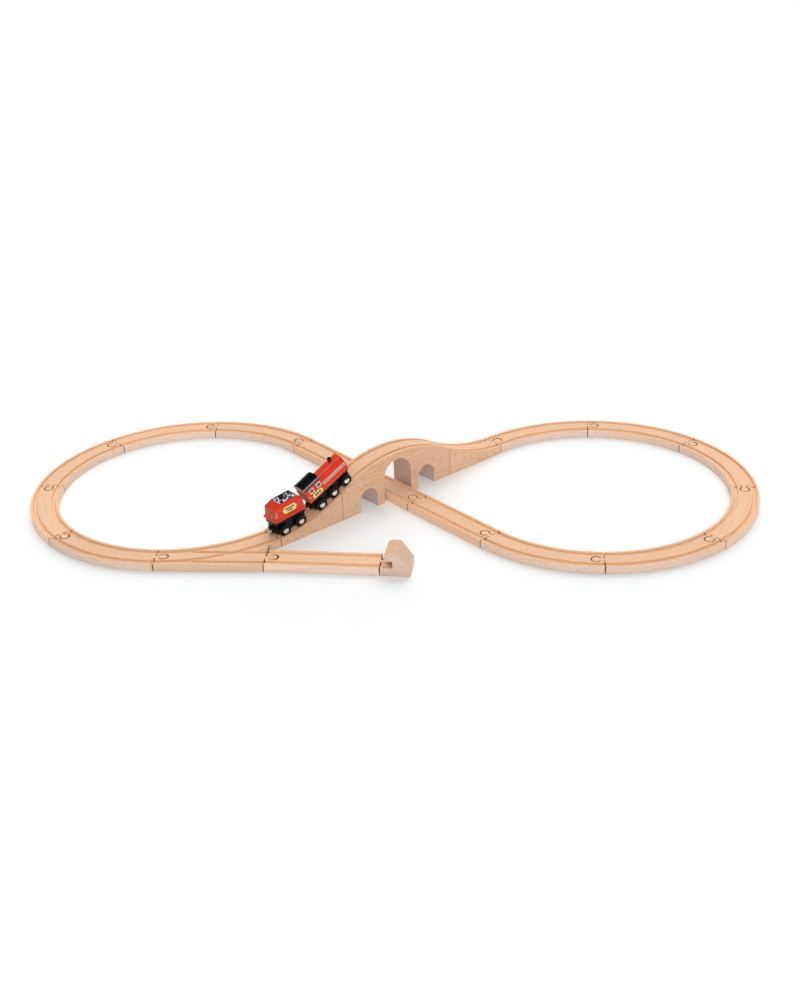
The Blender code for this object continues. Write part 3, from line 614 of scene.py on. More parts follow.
groove_wood = beech("beech_groove", (0.87, 0.56, 0.36), (0.90, 0.59, 0.34), contrast=1.2)
# Dark walls of the pegs and slots: painted shade in the gaps between pieces.
gap_shade_wood = beech("beech_gap_shade", (0.20, 0.10, 0.05))
# Arch walls: a greyer, darker beech as painted shade inside the arches.
arch_shade_wood = beech("beech_arch_shade", (0.62, 0.51, 0.47), contrast=1.4)
# The pieces' end faces: end grain, darkened further as painted shade of the gap between pieces.
end_grain_in_shade = beech("beech_end_grain_in_shade", (0.36, 0.20, 0.12))
inner_woods = (groove_wood, gap_shade_wood, arch_shade_wood, end_grain_in_shade)
spur_beech = (beech("beech_spur", scaled(TOP, 1.02), SIDE), *inner_woods)
switch_beech = (beech("beech_switch", scaled(TOP, 1.02), WARM_SIDE), *inner_woods)
flat_beech = (beech("beech", scaled(TOP, 0.93), WARM_SIDE), *inner_woods)
curved_beech = (beech("beech_curved", TOP, SIDE, CURVE_ANGLE / 2), *inner_woods)
buffer_beech = (beech("beech_buffer", scaled(TOP, 0.90), scaled(SIDE, 0.88)), *inner_woods)
block_beech = (
    beech("beech_block", TOP, (0.86, 0.555, 0.365), contrast=1.2, flecks=0.9),
    *inner_woods,
)
red_paint = lacquer("red_paint", RED)
red_shade = lacquer("red_paint_shaded", (0.44, 0.15, 0.075), 0.6, 0.0)
# Painted shade for the tender's rear panel, as if it lay in a recess.
red_recess_shade = lacquer("red_paint_recess_shade", (0.56, 0.085, 0.035), 0.6, 0.0)
black_paint = lacquer("black_paint", BLACK, 0.24, 0.6, 0.02 * MM)
black_plastic = moulded("black_plastic", (0.004, 0.0043, 0.0055))
steel = plated("steel", (0.86, 0.85, 0.83))
coal = coal_lumps("coal")
cream_ink = print_ink("cream_ink", (1.0, 0.95, 0.86), (1.0, 0.88, 0.72))
yellow_ink = print_ink("yellow_ink", (1.0, 0.76, 0.20), (1.0, 0.86, 0.40))
dark_ink = print_ink("dark_ink", (0.010, 0.006, 0.006), (0.03, 0.012, 0.01))
brick_ink = print_ink("brick_ink", (0.26, 0.012, 0.008), (0.36, 0.02, 0.012))
glass_ink = print_ink("window_ink", (0.008, 0.008, 0.011), (0.02, 0.02, 0.026), 0.2)
# A painted reflection for the window panes.
pane_reflection_ink = print_ink("pane_reflection_ink", (0.20, 0.22, 0.30), (0.33, 0.35, 0.42), 0.25)
bare_wood = beech("bare_wood_strip", (0.62, 0.33, 0.20))


# Outlines


def spread(start, end, steps):
    return [start + (end - start) * i / steps for i in range(steps + 1)]


def arc(centre, radius, start, end, steps):
    """Points on an arc, both ends included. Angles in radians."""
    x, y = centre
    angles = spread(start, end, steps)
    return [(x + radius * math.cos(a), y + radius * math.sin(a)) for a in angles]


def head_outline(radius, neck, start):
    """A round head on a neck that leaves x = start, running from -Y round to +Y."""
    meet = math.asin(neck / radius)
    head = arc((PEG_CENTRE, 0), radius, meet - math.pi, math.pi - meet, HEAD_STEPS + 1)
    return [(start, -neck)] + head + [(start, neck)]


def peg_outline(start=-HALF_GAP):
    return head_outline(PEG_RADIUS, PEG_NECK, start)


def slot_outline(start=HALF_GAP):
    return head_outline(PEG_RADIUS + SLOT_PLAY, PEG_NECK + SLOT_PLAY, start)


def moved(points, matrix):
    carried = [matrix @ Vector((x, y, 0)) for x, y in points]
    return [(p.x, p.y) for p in carried]


def heading_matrix(x, y, heading):
    return Matrix.Translation((x, y, 0)) @ Matrix.Rotation(heading, 4, "Z")


# Track. A piece's own frame: its slot end on the origin, its middle line leaving along +X,
# its underside on z = 0. A curve bends to the left.


def curve_point(angle, offset):
    radius = CURVE_RADIUS - offset
    return radius * math.sin(angle), CURVE_RADIUS - radius * math.cos(angle)


def curve_line(offset, start, end):
    return [curve_point(angle, offset) for angle in spread(start, end, CURVE_STEPS)]


def curve_end():
    x, y = curve_point(CURVE_ANGLE, 0)
    return heading_matrix(x, y, CURVE_ANGLE)


def curve_strip(inner, outer):
    past = 0.08
    start, end = -past, CURVE_ANGLE + past
    return curve_line(inner, start, end) + curve_line(outer, end, start)


def straight_strip(length):
    low, high = -5 * MM, length + 5 * MM
    return lambda inner, outer: [(low, inner), (high, inner), (high, outer), (low, outer)]


def flat_track(outline, strips, woods, far_ends):
    """A slab with the shared slot at its start and with grooves along strips in both faces.

    A strip is a function of two offsets. The outline closes along the slot.
    """
    slab = outline_solid([*outline, *reversed(slot_outline())], 0, TRACK_THICKNESS)
    tools = []
    for strip in strips:
        for side in (-1, 1):
            inner = side * GROOVE_OFFSET - GROOVE_WIDTH / 2
            groove = strip(inner, inner + GROOVE_WIDTH)
            for face in (0, TRACK_THICKNESS):
                tools.append(outline_solid(groove, face - GROOVE_DEPTH, face + GROOVE_DEPTH))
    return flat_parts_joined(joint_gaps_shaded(grooved(slab, tools, woods), (Matrix(), *far_ends)))


def curve_track():
    trim = HALF_GAP / CURVE_RADIUS
    outline = curve_line(-TRACK_HALF_WIDTH, trim, CURVE_ANGLE - trim)
    outline += moved(peg_outline(), curve_end())
    outline += curve_line(TRACK_HALF_WIDTH, CURVE_ANGLE - trim, trim)
    return flat_track(outline, [curve_strip], curved_beech, [curve_end()])


def straight_track(length, woods):
    low, high = HALF_GAP, length - HALF_GAP
    far_end = heading_matrix(length, 0, 0)
    outline = [(low, -TRACK_HALF_WIDTH), (high, -TRACK_HALF_WIDTH)]
    outline += moved(peg_outline(), far_end)
    outline += [(high, TRACK_HALF_WIDTH), (low, TRACK_HALF_WIDTH)]
    return flat_track(outline, [straight_strip(length)], woods, [far_end])


def switch_track():
    """A straight and a left-hand curve that share one slot end.

    The wood between the legs reaches to the straight's end, with a short slit beside it.
    """
    trim = HALF_GAP / CURVE_RADIUS
    half = TRACK_HALF_WIDTH
    end = STRAIGHT - HALF_GAP
    slit_length, slit_width = CROTCH_SLIT
    outline = [(HALF_GAP, -half), (end, -half)]
    far_end = heading_matrix(STRAIGHT, 0, 0)
    outline += moved(peg_outline(), far_end)
    outline += [(end, half), (end - slit_length, half)]
    outline += [(end - slit_length, half + slit_width / 3), (end, half + slit_width)]
    crotch = math.asin(end / (CURVE_RADIUS + half))
    outline += [curve_point(angle, -half) for angle in spread(crotch, CURVE_ANGLE - trim, 3)]
    outline += moved(peg_outline(), curve_end())
    outline += curve_line(half, CURVE_ANGLE - trim, trim)
    strips = [curve_strip, straight_strip(STRAIGHT)]
    return flat_track(outline, strips, switch_beech, [far_end, curve_end()])


def ramp_height(distance, drop=0.0):
    """Height of the ramp's top at a distance from its foot, less a drop square to it."""
    radius = RAMP_RADIUS + drop
    return RAMP_CENTRE_UP - math.sqrt(radius**2 - (distance + RAMP_CENTRE_BACK) ** 2)


def deck_height(distance, drop=0.0):
    """Height of the bridge's top at a distance from its middle."""
    radius = DECK_RADIUS - drop
    return DECK_TOP - DECK_RADIUS + math.sqrt(radius**2 - distance**2)


def surface_grooves(line, top):
    """Cutters that follow a line of (x, z) points and open upwards to a height."""
    outline = line + [(line[-1][0], top), (line[0][0], top)]
    places = (-GROOVE_OFFSET, GROOVE_OFFSET)
    return [side_solid(outline, GROOVE_WIDTH / 2, place) for place in places]


def slot_cutter(height):
    return outline_solid(slot_outline(-2 * HALF_GAP), -2 * MM, height)


def peg_block(height):
    """A peg just off the floor, its neck run 2 mm back into the body it is joined to."""
    return outline_solid(peg_outline(-HALF_GAP - 2 * MM), PEG_LIFT, height)


def end_placed(mesh, x, turned_round=False):
    turn = Matrix.Rotation(math.pi if turned_round else 0, 4, "Z")
    mesh.transform(Matrix.Translation((x, 0, 0)) @ turn)
    return mesh


def ramp(peg, slot):
    """A ramp that climbs along +X from x = 0."""
    low, high = HALF_GAP, RAMP_LENGTH - HALF_GAP
    top = [(x, ramp_height(x)) for x in spread(low, high, RAMP_STEPS)]
    body = side_solid([(low, 0), (high, 0)] + top[::-1], TRACK_HALF_WIDTH)
    body = cut(joined(body, peg), slot)
    stations = spread(-4 * MM, RAMP_LENGTH + 4 * MM, RAMP_STEPS + 1)
    floor = [(x, ramp_height(x, GROOVE_DEPTH)) for x in stations]
    body = grooved(body, surface_grooves(floor, RAMP_TOP + 12 * MM), block_beech)
    return flat_parts_joined(joint_gaps_shaded(body, (Matrix(), Matrix.Rotation(math.pi, 4, "Z"))))


def ramp_up():
    """Slot at the foot, peg at the top end."""
    return ramp(end_placed(peg_block(RAMP_PEG_HEIGHT), RAMP_LENGTH), slot_cutter(RAMP_TOP))


def ramp_down():
    """Slot at the top end, peg at the foot. Its own frame starts at its top end."""
    peg = end_placed(peg_block(FOOT_PEG_HEIGHT), 0, True)
    slot = end_placed(slot_cutter(RAMP_PEG_HEIGHT + SLOT_PLAY), RAMP_LENGTH, True)
    return end_placed(ramp(peg, slot), RAMP_LENGTH, True)


def arch_cutter(place, half, spring):
    """Cuts an arch whose walls take the fourth wood, a greyer painted shade."""
    below = -2 * MM
    outline = [(place + half, below)] + arc((place, spring), half, 0, math.pi, ARCH_STEPS)
    outline.append((place - half, below))
    return painted(side_solid(outline, TRACK_HALF_WIDTH + MM), block_beech, 3)


def bridge_span():
    half = BRIDGE_LENGTH / 2
    edge = half - HALF_GAP
    outline = [(x, deck_height(x)) for x in spread(-edge, edge, DECK_STEPS)]
    outline += [(edge, 0), (-edge, 0)]
    body = end_placed(side_solid(outline, TRACK_HALF_WIDTH), half)
    body = joined(body, end_placed(peg_block(RAMP_PEG_HEIGHT), BRIDGE_LENGTH))
    body = cut(body, slot_cutter(RAMP_PEG_HEIGHT + SLOT_PLAY))
    stations = spread(-half - 4 * MM, half + 4 * MM, DECK_STEPS + 2)
    floor = [(half + x, deck_height(x, GROOVE_DEPTH)) for x in stations]
    body = grooved(body, surface_grooves(floor, DECK_TOP + 5 * MM), block_beech)
    arches = [arch_cutter(*MAIN_ARCH)]
    arches += [arch_cutter(side * SIDE_ARCH_PLACE, *SIDE_ARCH) for side in (-1, 1)]
    return flat_parts_joined(cut(body, *[end_placed(arch, half) for arch in arches]))


def buffer_stop():
    """A short base with a sloped block whose nose hangs over a notch."""
    step = TRACK_THICKNESS
    nose_bottom = step + BUFFER_NOTCH
    notch_back = BUFFER_NOSE + BUFFER_NOTCH
    outline = [
        (HALF_GAP, 0),
        (BUFFER_LENGTH, 0),
        (BUFFER_LENGTH, BUFFER_BACK_HEIGHT),
        (BUFFER_TOP[1], BUFFER_HEIGHT),
        (BUFFER_TOP[0], BUFFER_HEIGHT),
        (BUFFER_NOSE, BUFFER_HEIGHT - 3 * MM),
        (BUFFER_NOSE, nose_bottom),
        (notch_back, nose_bottom),
        (notch_back, step),
        (HALF_GAP, step),
    ]
    body = side_solid(outline, TRACK_HALF_WIDTH)
    body = painted(cut(body, slot_cutter(step + SLOT_PLAY)), buffer_beech, 0)
    return flat_parts_joined(joint_gaps_shaded(body, [Matrix()]))


# The layout, walked piece by piece


def turn_over(matrix):
    """The same place for a piece lying on its other face, so that it bends right."""
    lift = Matrix.Translation((0, 0, TRACK_THICKNESS))
    return matrix @ lift @ Matrix.Rotation(math.pi, 4, "X")


def walk_straight(matrix, length):
    return matrix @ Matrix.Translation((length, 0, 0))


def walk_curve(matrix, bends_left):
    x, y = curve_point(CURVE_ANGLE, 0)
    side = 1 if bends_left else -1
    return matrix @ heading_matrix(x, side * y, side * CURVE_ANGLE)


def turned_in_joint(matrix, angle):
    pivot = Matrix.Translation((PEG_CENTRE, 0, 0))
    return matrix @ pivot @ Matrix.Rotation(angle, 4, "Z") @ pivot.inverted()


def build_track():
    """Lays every track piece in the order in which they join."""
    curve = curve_track()
    straight = straight_track(STRAIGHT, flat_beech)
    foot = -LEG_LENGTH / 2 * math.sqrt(0.5)
    here = heading_matrix(foot, foot, math.radians(45))

    for name, mesh, length in (
        ("ramp_up", ramp_up(), RAMP_LENGTH),
        ("bridge_span", bridge_span(), BRIDGE_LENGTH),
        ("ramp_down", ramp_down(), RAMP_LENGTH),
    ):
        stand_in(name, mesh, here, LIP_ROUNDING)
        here = walk_straight(here, length)
    for number in range(1, 7):
        stand_in(f"curve_right_{number}", curve, turn_over(here), EDGE_ROUNDING)
        here = walk_curve(here, bends_left=False)
    for name in ("straight_east", "straight_under_bridge"):
        stand_in(name, straight, here, EDGE_ROUNDING)
        here = walk_straight(here, STRAIGHT)
    stand_in("straight_west", straight_track(SHORT_STRAIGHT, flat_beech), here, EDGE_ROUNDING)
    here = walk_straight(here, SHORT_STRAIGHT)
    for number in range(1, 6):
        stand_in(f"curve_left_{number}", curve, here, EDGE_ROUNDING)
        here = walk_curve(here, bends_left=True)
    stand_in("switch_track", switch_track(), here, LIP_ROUNDING)
    here = turned_in_joint(walk_straight(here, STRAIGHT + SPUR_PULL), SPUR_TURN)
    stand_in("spur_straight", straight_track(SPUR_STRAIGHT, spur_beech), here, EDGE_ROUNDING)
    here = turned_in_joint(walk_straight(here, SPUR_STRAIGHT + SPUR_PULL), BUFFER_TURN)
    stand_in("buffer_stop", buffer_stop(), here, EDGE_ROUNDING)


# Vehicles. A vehicle's own frame: +X forwards, +Y to its left, z = 0 at its wheels' bottoms.


def joint(name):
    return next(row for row in frame["joints"] if row["name"] == name)


def vehicle_frame(vehicle):
    """Where a vehicle stands, from its axles' and its coupling's joints."""
    ends = [Vector(joint(f"{vehicle}_axle_{end}_spin")["pos_m"]) for end in ("rear", "front")]
    forward = Vector(joint(f"{vehicle}_rear_magnet_spin")["axis"]).normalized()
    left = Vector(joint(f"{vehicle}_axle_rear_spin")["axis"]).normalized()
    up = forward.cross(left)
    turn = Matrix((forward, left, up)).transposed().to_4x4()
    return Matrix.Translation((ends[0] + ends[1]) / 2 - WHEEL_RADIUS * up) @ turn


def on_joint(name, stance):
    """The vehicle's axes, with their origin moved to a joint."""
    return Matrix.Translation(joint(name)["pos_m"]) @ stance.to_3x3().to_4x4()


def wheel_mesh():
    """A tyre with rounded edges and a shallow dish round the hub on both faces."""
    half, rim, dish = WHEEL_WIDTH / 2, 0.7 * MM, 0.5 * MM
    edge = WHEEL_RADIUS - rim
    side = [(BORE, half), (3.4 * MM, half), (3.9 * MM, half - dish)]
    side += [(edge - 1.2 * MM, half - dish), (edge - 0.6 * MM, half)]
    profile = side + rounded((edge, half - rim), rim, 90)
    profile += [(r, -z) for r, z in reversed(profile)]
    return coated(turned(profile, "Y"), black_plastic)


def axle_mesh():
    """A pin with a domed cap on each end."""
    dome = [
        (CAP_RADIUS * math.sin(a), CAP_START + CAP_HEIGHT * math.cos(a))
        for a in spread(0, math.pi / 2, 14)
    ]
    half = dome + [(CAP_RADIUS - 0.3 * MM, CAP_START), (AXLE_RADIUS, CAP_START)]
    return coated(turned(half + [(r, -z) for r, z in reversed(half)], "Y"), steel)


def add_wheelset(vehicle, end, wheel, axle, stance):
    """An axle with its two wheels."""
    middle = on_joint(f"{vehicle}_axle_{end}_spin", stance)
    stand_in(f"{vehicle}_axle_{end}", axle, middle, crease=40)
    for side, y in (("left", GROOVE_OFFSET), ("right", -GROOVE_OFFSET)):
        place = middle @ Matrix.Translation((0, y, 0))
        stand_in(f"{vehicle}_wheel_{end}_{side}", wheel, place, crease=35)


def magnet_mesh():
    """A ring magnet along X, its rear face on x = 0."""
    top, rim = MAGNET_THICKNESS, 0.5 * MM
    edge = MAGNET_RADIUS - rim
    profile = [(MAGNET_BORE, top)] + rounded((edge, top - rim), rim, 90)
    profile += rounded((edge, rim), rim, 0) + [(MAGNET_BORE, 0)]
    return coated(turned(profile, "X"), steel)


def rivet_mesh():
    """A domed rivet along X, with its magnet's rear face on x = 0."""
    seat = MAGNET_THICKNESS + CLEARANCE
    dome = [(RIVET_HEAD * math.sin(a), seat + 0.8 * MM * math.cos(a)) for a in spread(0, 1.5, 8)]
    profile = dome + [(RIVET_HEAD, seat), (RIVET_RADIUS, seat)]
    profile += [(RIVET_RADIUS, -RIVET_DEPTH), (0, -RIVET_DEPTH)]
    return coated(turned(profile, "X"), steel)


def add_coupling(name, direction, stance):
    """A magnet on its rivet, at the end of a stub."""
    turn = Matrix.Rotation(0 if direction > 0 else math.pi, 4, "Z")
    place = on_joint(f"{name}_magnet_spin", stance) @ turn
    stand_in(f"{name}_magnet", magnet_mesh(), place, crease=40)
    stand_in(f"{name}_rivet", rivet_mesh(), place, crease=40)


def chassis_mesh(rear, front, sole_top, stub_sides):
    """A keel between the wheels, a sole plate and a stub for each coupling."""
    low, high = rear + KEEL_INSET, front - KEEL_INSET
    keel = box((low, -KEEL_HALF_WIDTH, KEEL_BOTTOM), (high, KEEL_HALF_WIDTH, sole_top - MM))
    sole = box(
        (rear + MM, -SOLE_HALF_WIDTH, SOLE_BOTTOM), (front - MM, SOLE_HALF_WIDTH, sole_top)
    )
    pieces = [sole]
    bottom, top = MAGNET_HEIGHT - STUB_HALF_WIDTH, MAGNET_HEIGHT + STUB_HALF_WIDTH
    for side in stub_sides:
        end = front + STUB_LENGTH if side > 0 else rear - STUB_LENGTH
        near, far = sorted((end - side * (STUB_LENGTH + 4 * MM), end))
        pieces.append(box((near, -STUB_HALF_WIDTH, bottom), (far, STUB_HALF_WIDTH, top)))
    return coated(flat_parts_joined(joined(keel, *pieces)), black_plastic)


def boiler_side(height):
    """Half the boiler's width at a height."""
    rise = max(0.0, height - (BOILER_TOP - BOILER_ROUND))
    return BOILER_HALF_WIDTH - BOILER_ROUND + math.sqrt(BOILER_ROUND**2 - rise**2)


def boiler_mesh():
    """A block with upright sides and a rounded top."""
    bottom = ENGINE_SOLE_TOP + CLEARANCE
    inner = BOILER_HALF_WIDTH - BOILER_ROUND
    shoulder = BOILER_TOP - BOILER_ROUND
    quarter = math.pi / 2
    outline = [(-BOILER_HALF_WIDTH, bottom), (BOILER_HALF_WIDTH, bottom)]
    outline += arc((inner, shoulder), BOILER_ROUND, 0, quarter, 16)
    outline += arc((-inner, shoulder), BOILER_ROUND, quarter, math.pi, 16)
    return coated(end_solid(outline, CAB_FRONT + CLEARANCE, ENGINE_FRONT), red_paint)


def boiler_line(side, middle, width, proud, material):
    """A painted line along one side of the boiler."""
    heights = spread(middle - width / 2, middle + width / 2, 4)
    outer = [(side * (boiler_side(z) + proud), z) for z in heights]
    inner = [(side * (boiler_side(z) - HUG), z) for z in reversed(heights)]
    start, end = CAB_FRONT + 0.8 * MM, ENGINE_FRONT - 1.2 * MM
    return coated(end_solid(outer + inner, start, end), material)


def roof_arc(drop):
    """The barrel roof's underside, or a line that far under it, from left to right."""
    radius = (ROOF_HALF_WIDTH**2 + ROOF_RISE**2) / (2 * ROOF_RISE)
    centre = (0, ROOF_EDGE + ROOF_RISE - radius)
    half = math.asin(ROOF_HALF_WIDTH / radius)
    return arc(centre, radius - drop, math.pi / 2 + half, math.pi / 2 - half, 24)


def roof_mesh():
    outline = roof_arc(-ROOF_THICKNESS) + roof_arc(0)[::-1]
    return coated(end_solid(outline, ENGINE_REAR - ROOF_OVERHANG, CAB_FRONT), black_paint)


def cab_mesh():
    bottom = ENGINE_SOLE_TOP + CLEARANCE
    top = [(y, z) for y, z in roof_arc(CLEARANCE) if abs(y) < CAB_HALF_WIDTH - MM]
    eaves = ROOF_EDGE - CLEARANCE
    outline = [(CAB_HALF_WIDTH, bottom), (CAB_HALF_WIDTH, eaves)] + top[::-1]
    outline += [(-CAB_HALF_WIDTH, eaves), (-CAB_HALF_WIDTH, bottom)]
    return coated(end_solid(outline, ENGINE_REAR, CAB_FRONT), red_paint)


def chimney_mesh():
    """A stub of a chimney with a rolled lip and a dished mouth."""
    top, lip = CHIMNEY_HEIGHT, 0.5 * MM
    edge = CHIMNEY_RADIUS - lip
    profile = [(0, top - 0.9 * MM), (1.5 * MM, top - 0.8 * MM), (1.9 * MM, top - 0.1 * MM)]
    profile += rounded((edge, top - lip), lip, 90)
    profile += [(CHIMNEY_RADIUS, top - 1.5 * MM), (edge, top - 2 * MM)]
    profile += [(edge, CLEARANCE), (0, CLEARANCE)]
    return coated(turned(profile, "Z"), black_paint)


def tender_body_mesh():
    """A box that flares into a skirt below and slopes in on all four sides above."""
    points, faces = [], [(3, 2, 1, 0)]
    for height, rear, front, half_width in TENDER_SECTIONS:
        top = len(points)
        corners = ((rear, -1), (front, -1), (front, 1), (rear, 1))
        points += [(x, side * half_width, height) for x, side in corners]
        for i, j in ((0, 1), (1, 2), (2, 3), (3, 0)) if top else ():
            faces.append((top - 4 + i, top - 4 + j, top + j, top + i))
    faces.append(range(top, top + 4))
    mesh = bpy.data.meshes.new("tender_body")
    mesh.from_pydata(points, [], faces)
    return coated(mesh, red_paint)


def coal_mesh():
    """A bed of small lumps with upright edges."""
    across, along = 44, 64
    length, width = COAL_FRONT - COAL_REAR, 2 * COAL_HALF_WIDTH
    base = TENDER_SECTIONS[-1][0] + CLEARANCE
    mesh = bpy.data.meshes.new("coal")
    bm = bmesh.new()
    bmesh.ops.create_grid(bm, x_segments=along, y_segments=across, size=0.5)
    for vert in bm.verts:
        u, v = vert.co.x, vert.co.y
        x, y = u * length, v * width
        near_edge = min((0.5 - abs(u)) * length, (0.5 - abs(v)) * width)
        distances, _ = noise.voronoi(Vector((x, y, 0)) / (3.2 * MM))
        lump = 1 - min(1.0, distances[0]) ** 2
        rise = min(1.0, near_edge / (1.6 * MM))
        height = COAL_THICKNESS * (0.45 + 0.5 * lump * rise)
        vert.co = ((COAL_REAR + COAL_FRONT) / 2 + x, y, base + height)
    rim = [edge for edge in bm.edges if edge.is_boundary]
    walls = bmesh.ops.extrude_edge_only(bm, edges=rim)["geom"]
    lowered = [item for item in walls if isinstance(item, bmesh.types.BMVert)]
    for vert in lowered:
        vert.co.z = base
    bmesh.ops.contextual_create(bm, geom=[e for e in bm.edges if e.is_boundary])
    bmesh.ops.recalc_face_normals(bm, faces=bm.faces)
    bm.to_mesh(mesh)
    bm.free()
    return coated(mesh, coal)


# Printed panels, and panels of painted highlight, reflection and shade. Each is a thin plate let
# into a side wall, outlined in XZ.


def plate(side, wall, outline, proud, material):
    """A thin plate on the wall at y = side * wall."""
    middle = side * (wall + (proud - HUG) / 2)
    return coated(side_solid(outline, (proud + HUG) / 2, middle), material)


def rectangle(x, z, width, height, corner=0.0):
    """A rectangle's outline about a middle point, its corners rounded if asked."""
    w, h = width / 2 - corner, height / 2 - corner
    if not corner:
        return [(x - w, z - h), (x + w, z - h), (x + w, z + h), (x - w, z + h)]
    points = []
    for quarter, (sx, sz) in enumerate(((1, 1), (-1, 1), (-1, -1), (1, -1))):
        start = quarter * math.pi / 2
        points += arc((x + sx * w, z + sz * h), corner, start, start + math.pi / 2, 4)
    return points


def nameplate(x, z, width, height):
    """A plate's outline with hollowed corners and a half-round ear at each end."""
    ear, notch, quarter = 0.20 * height, 0.14 * height, math.pi / 2
    w, h = width / 2 - ear, height / 2
    corner = arc((w, 0), ear, quarter / 5, quarter, 4)
    corner += arc((w, h), notch, 3 * quarter, 2 * quarter, 4)
    points = corner + [(-a, b) for a, b in reversed(corner)]
    points += [(-a, -b) for a, b in points]
    return [(x + a, z + b) for a, b in points]


def cab_side_panels(side):
    """Two framed windows with a painted reflection on each pane, bands between them, a nameplate
    and a curved line.
    """
    shown = []
    for x, z in WINDOWS:
        frame_outline = rectangle(x, z, WINDOW_FRAME, WINDOW_FRAME, 0.4 * MM)
        pane = rectangle(x, z, WINDOW_PANE, WINDOW_PANE, 0.3 * MM)
        shown += [(frame_outline, FILM, cream_ink), (pane, 1.6 * FILM, glass_ink)]
        # A painted reflection across the pane.
        pane_reflection = [(x - 1.5 * MM, z - 0.9 * MM), (x + 0.3 * MM, z - 0.9 * MM)]
        pane_reflection += [(x + 1.5 * MM, z + 1.1 * MM), (x - 0.3 * MM, z + 1.1 * MM)]
        shown.append((pane_reflection, 2.2 * FILM, pane_reflection_ink))
    for x in (-22.6 * MM, -21 * MM, -19.4 * MM):
        shown.append((rectangle(x, 38.1 * MM, 0.9 * MM, 7 * MM), FILM, brick_ink))
    x, z = CAB_PLATE[:2]
    shown.append((nameplate(*CAB_PLATE), FILM, yellow_ink))
    for step in (-1, 0, 1):
        mark = rectangle(x + step * 3.9 * MM, z, 2.7 * MM, 4.6 * MM, 0.9 * MM)
        shown.append((mark, 1.6 * FILM, dark_ink))
    shown.append((corner_line(), FILM, cream_ink))
    return [plate(side, CAB_HALF_WIDTH, *panel) for panel in shown]


def corner_line():
    """A thin curved line up the cab's rear lower corner."""
    centre, radius, width = (-28 * MM, 34 * MM), 8.6 * MM, 0.5 * MM
    start, end = math.radians(178), math.radians(228)
    outer = arc(centre, radius, start, end, 10)
    return outer + arc(centre, radius - width, end, start, 10)


def tender_side_panels(side):
    """A nameplate with two rows of dashes, and an upright cream line near the rear corner that is
    a painted highlight, on the sloping side.
    """
    x, z = TENDER_PLATE[:2]
    shown = [(nameplate(*TENDER_PLATE), FILM, yellow_ink)]
    for row, count in ((1.7 * MM, 8), (-1.7 * MM, 5)):
        for i in range(count):
            at = x + (i - (count - 1) / 2) * 2 * MM
            dash = rectangle(at, z + row, 1.7 * MM, 2.3 * MM, 0.3 * MM)
            shown.append((dash, 1.6 * FILM, dark_ink))
    # A painted highlight along the rear corner.
    shown.append((rectangle(-23 * MM, 36.5 * MM, 0.45 * MM, 8.6 * MM), FILM, cream_ink))
    low, high = TENDER_SECTIONS[2:4]
    lean = math.atan2(low[3] - high[3], high[0] - low[0])
    panels = [plate(side, low[3], *panel) for panel in shown]
    return [leaned(mesh, (0, side * low[3], low[0]), side * lean, "X") for mesh in panels]


def tender_rear_panels():
    """A panel in painted shade, with a dark outline as a painted shadow of a recess, on the
    sloping rear wall.
    """
    low, high = TENDER_SECTIONS[2:4]
    lean = math.atan2(high[1] - low[1], high[0] - low[0])
    # The darker panel and its dark outline are painted shade, as of a recess.
    panels = [
        rear_panel(low[1], 10.6 * MM, 32.2 * MM, 42.6 * MM, brick_ink, 0.6 * FILM),
        rear_panel(low[1], 10 * MM, 32.8 * MM, 42 * MM, red_recess_shade),
    ]
    return [leaned(mesh, (low[1], 0, low[0]), lean, "Y") for mesh in panels]


def leaned(mesh, foot, angle, axis):
    """Turns an upright panel about a foot point so that it lies on a sloping wall."""
    foot = Vector(foot)
    turn = Matrix.Rotation(angle, 4, axis)
    mesh.transform(Matrix.Translation(foot) @ turn @ Matrix.Translation(-foot))
    return mesh


def rear_panel(x, half_width, low, high, material, proud=FILM):
    """A thin plate on a rear wall at x."""
    return coated(box((x - proud, -half_width, low), (x + HUG, half_width, high)), material)


def add_print_and_painted_light(vehicle, panels, stance):
    """One thin piece from its panels, of print and of painted light and shade."""
    for name, meshes in panels.items():
        piece(f"{vehicle}_{name}", merged(meshes), stance, vehicle)


def build_engine(wheel, axle):
    stance = vehicle_frame("engine")
    chassis = chassis_mesh(ENGINE_REAR, ENGINE_FRONT, ENGINE_SOLE_TOP, [-1])
    stand_in("engine_chassis", chassis, stance, 0.5 * MM)
    stand_in("engine_boiler", boiler_mesh(), stance, 0.7 * MM)
    stand_in("engine_cab", cab_mesh(), stance, 0.5 * MM)
    stand_in("engine_roof", roof_mesh(), stance, 0.6 * MM)
    top = stance @ Matrix.Translation((CHIMNEY_PLACE, 0, BOILER_TOP))
    stand_in("engine_chimney", chimney_mesh(), top, crease=40)
    for end in ("rear", "middle", "front"):
        add_wheelset("engine", end, wheel, axle, stance)
    add_coupling("engine_rear", -1, stance)
    panels = {}
    for name, side in (("left", 1), ("right", -1)):
        lines = [boiler_line(side, *BOILER_BAND, FILM, brick_ink)]
        lines += [boiler_line(side, z, MM, 1.6 * FILM, cream_ink) for z in BOILER_LINES]
        panels[f"boiler_lines_{name}"] = lines
        panels[f"cab_print_{name}"] = cab_side_panels(side)
    panels["cab_rear_face"] = [
        rear_panel(ENGINE_REAR, 11.2 * MM, 22.6 * MM, 40.2 * MM, red_shade),
        rear_panel(ENGINE_REAR, 11.2 * MM, 40.2 * MM, 44 * MM, bare_wood),
    ]
    add_print_and_painted_light("engine", panels, stance)


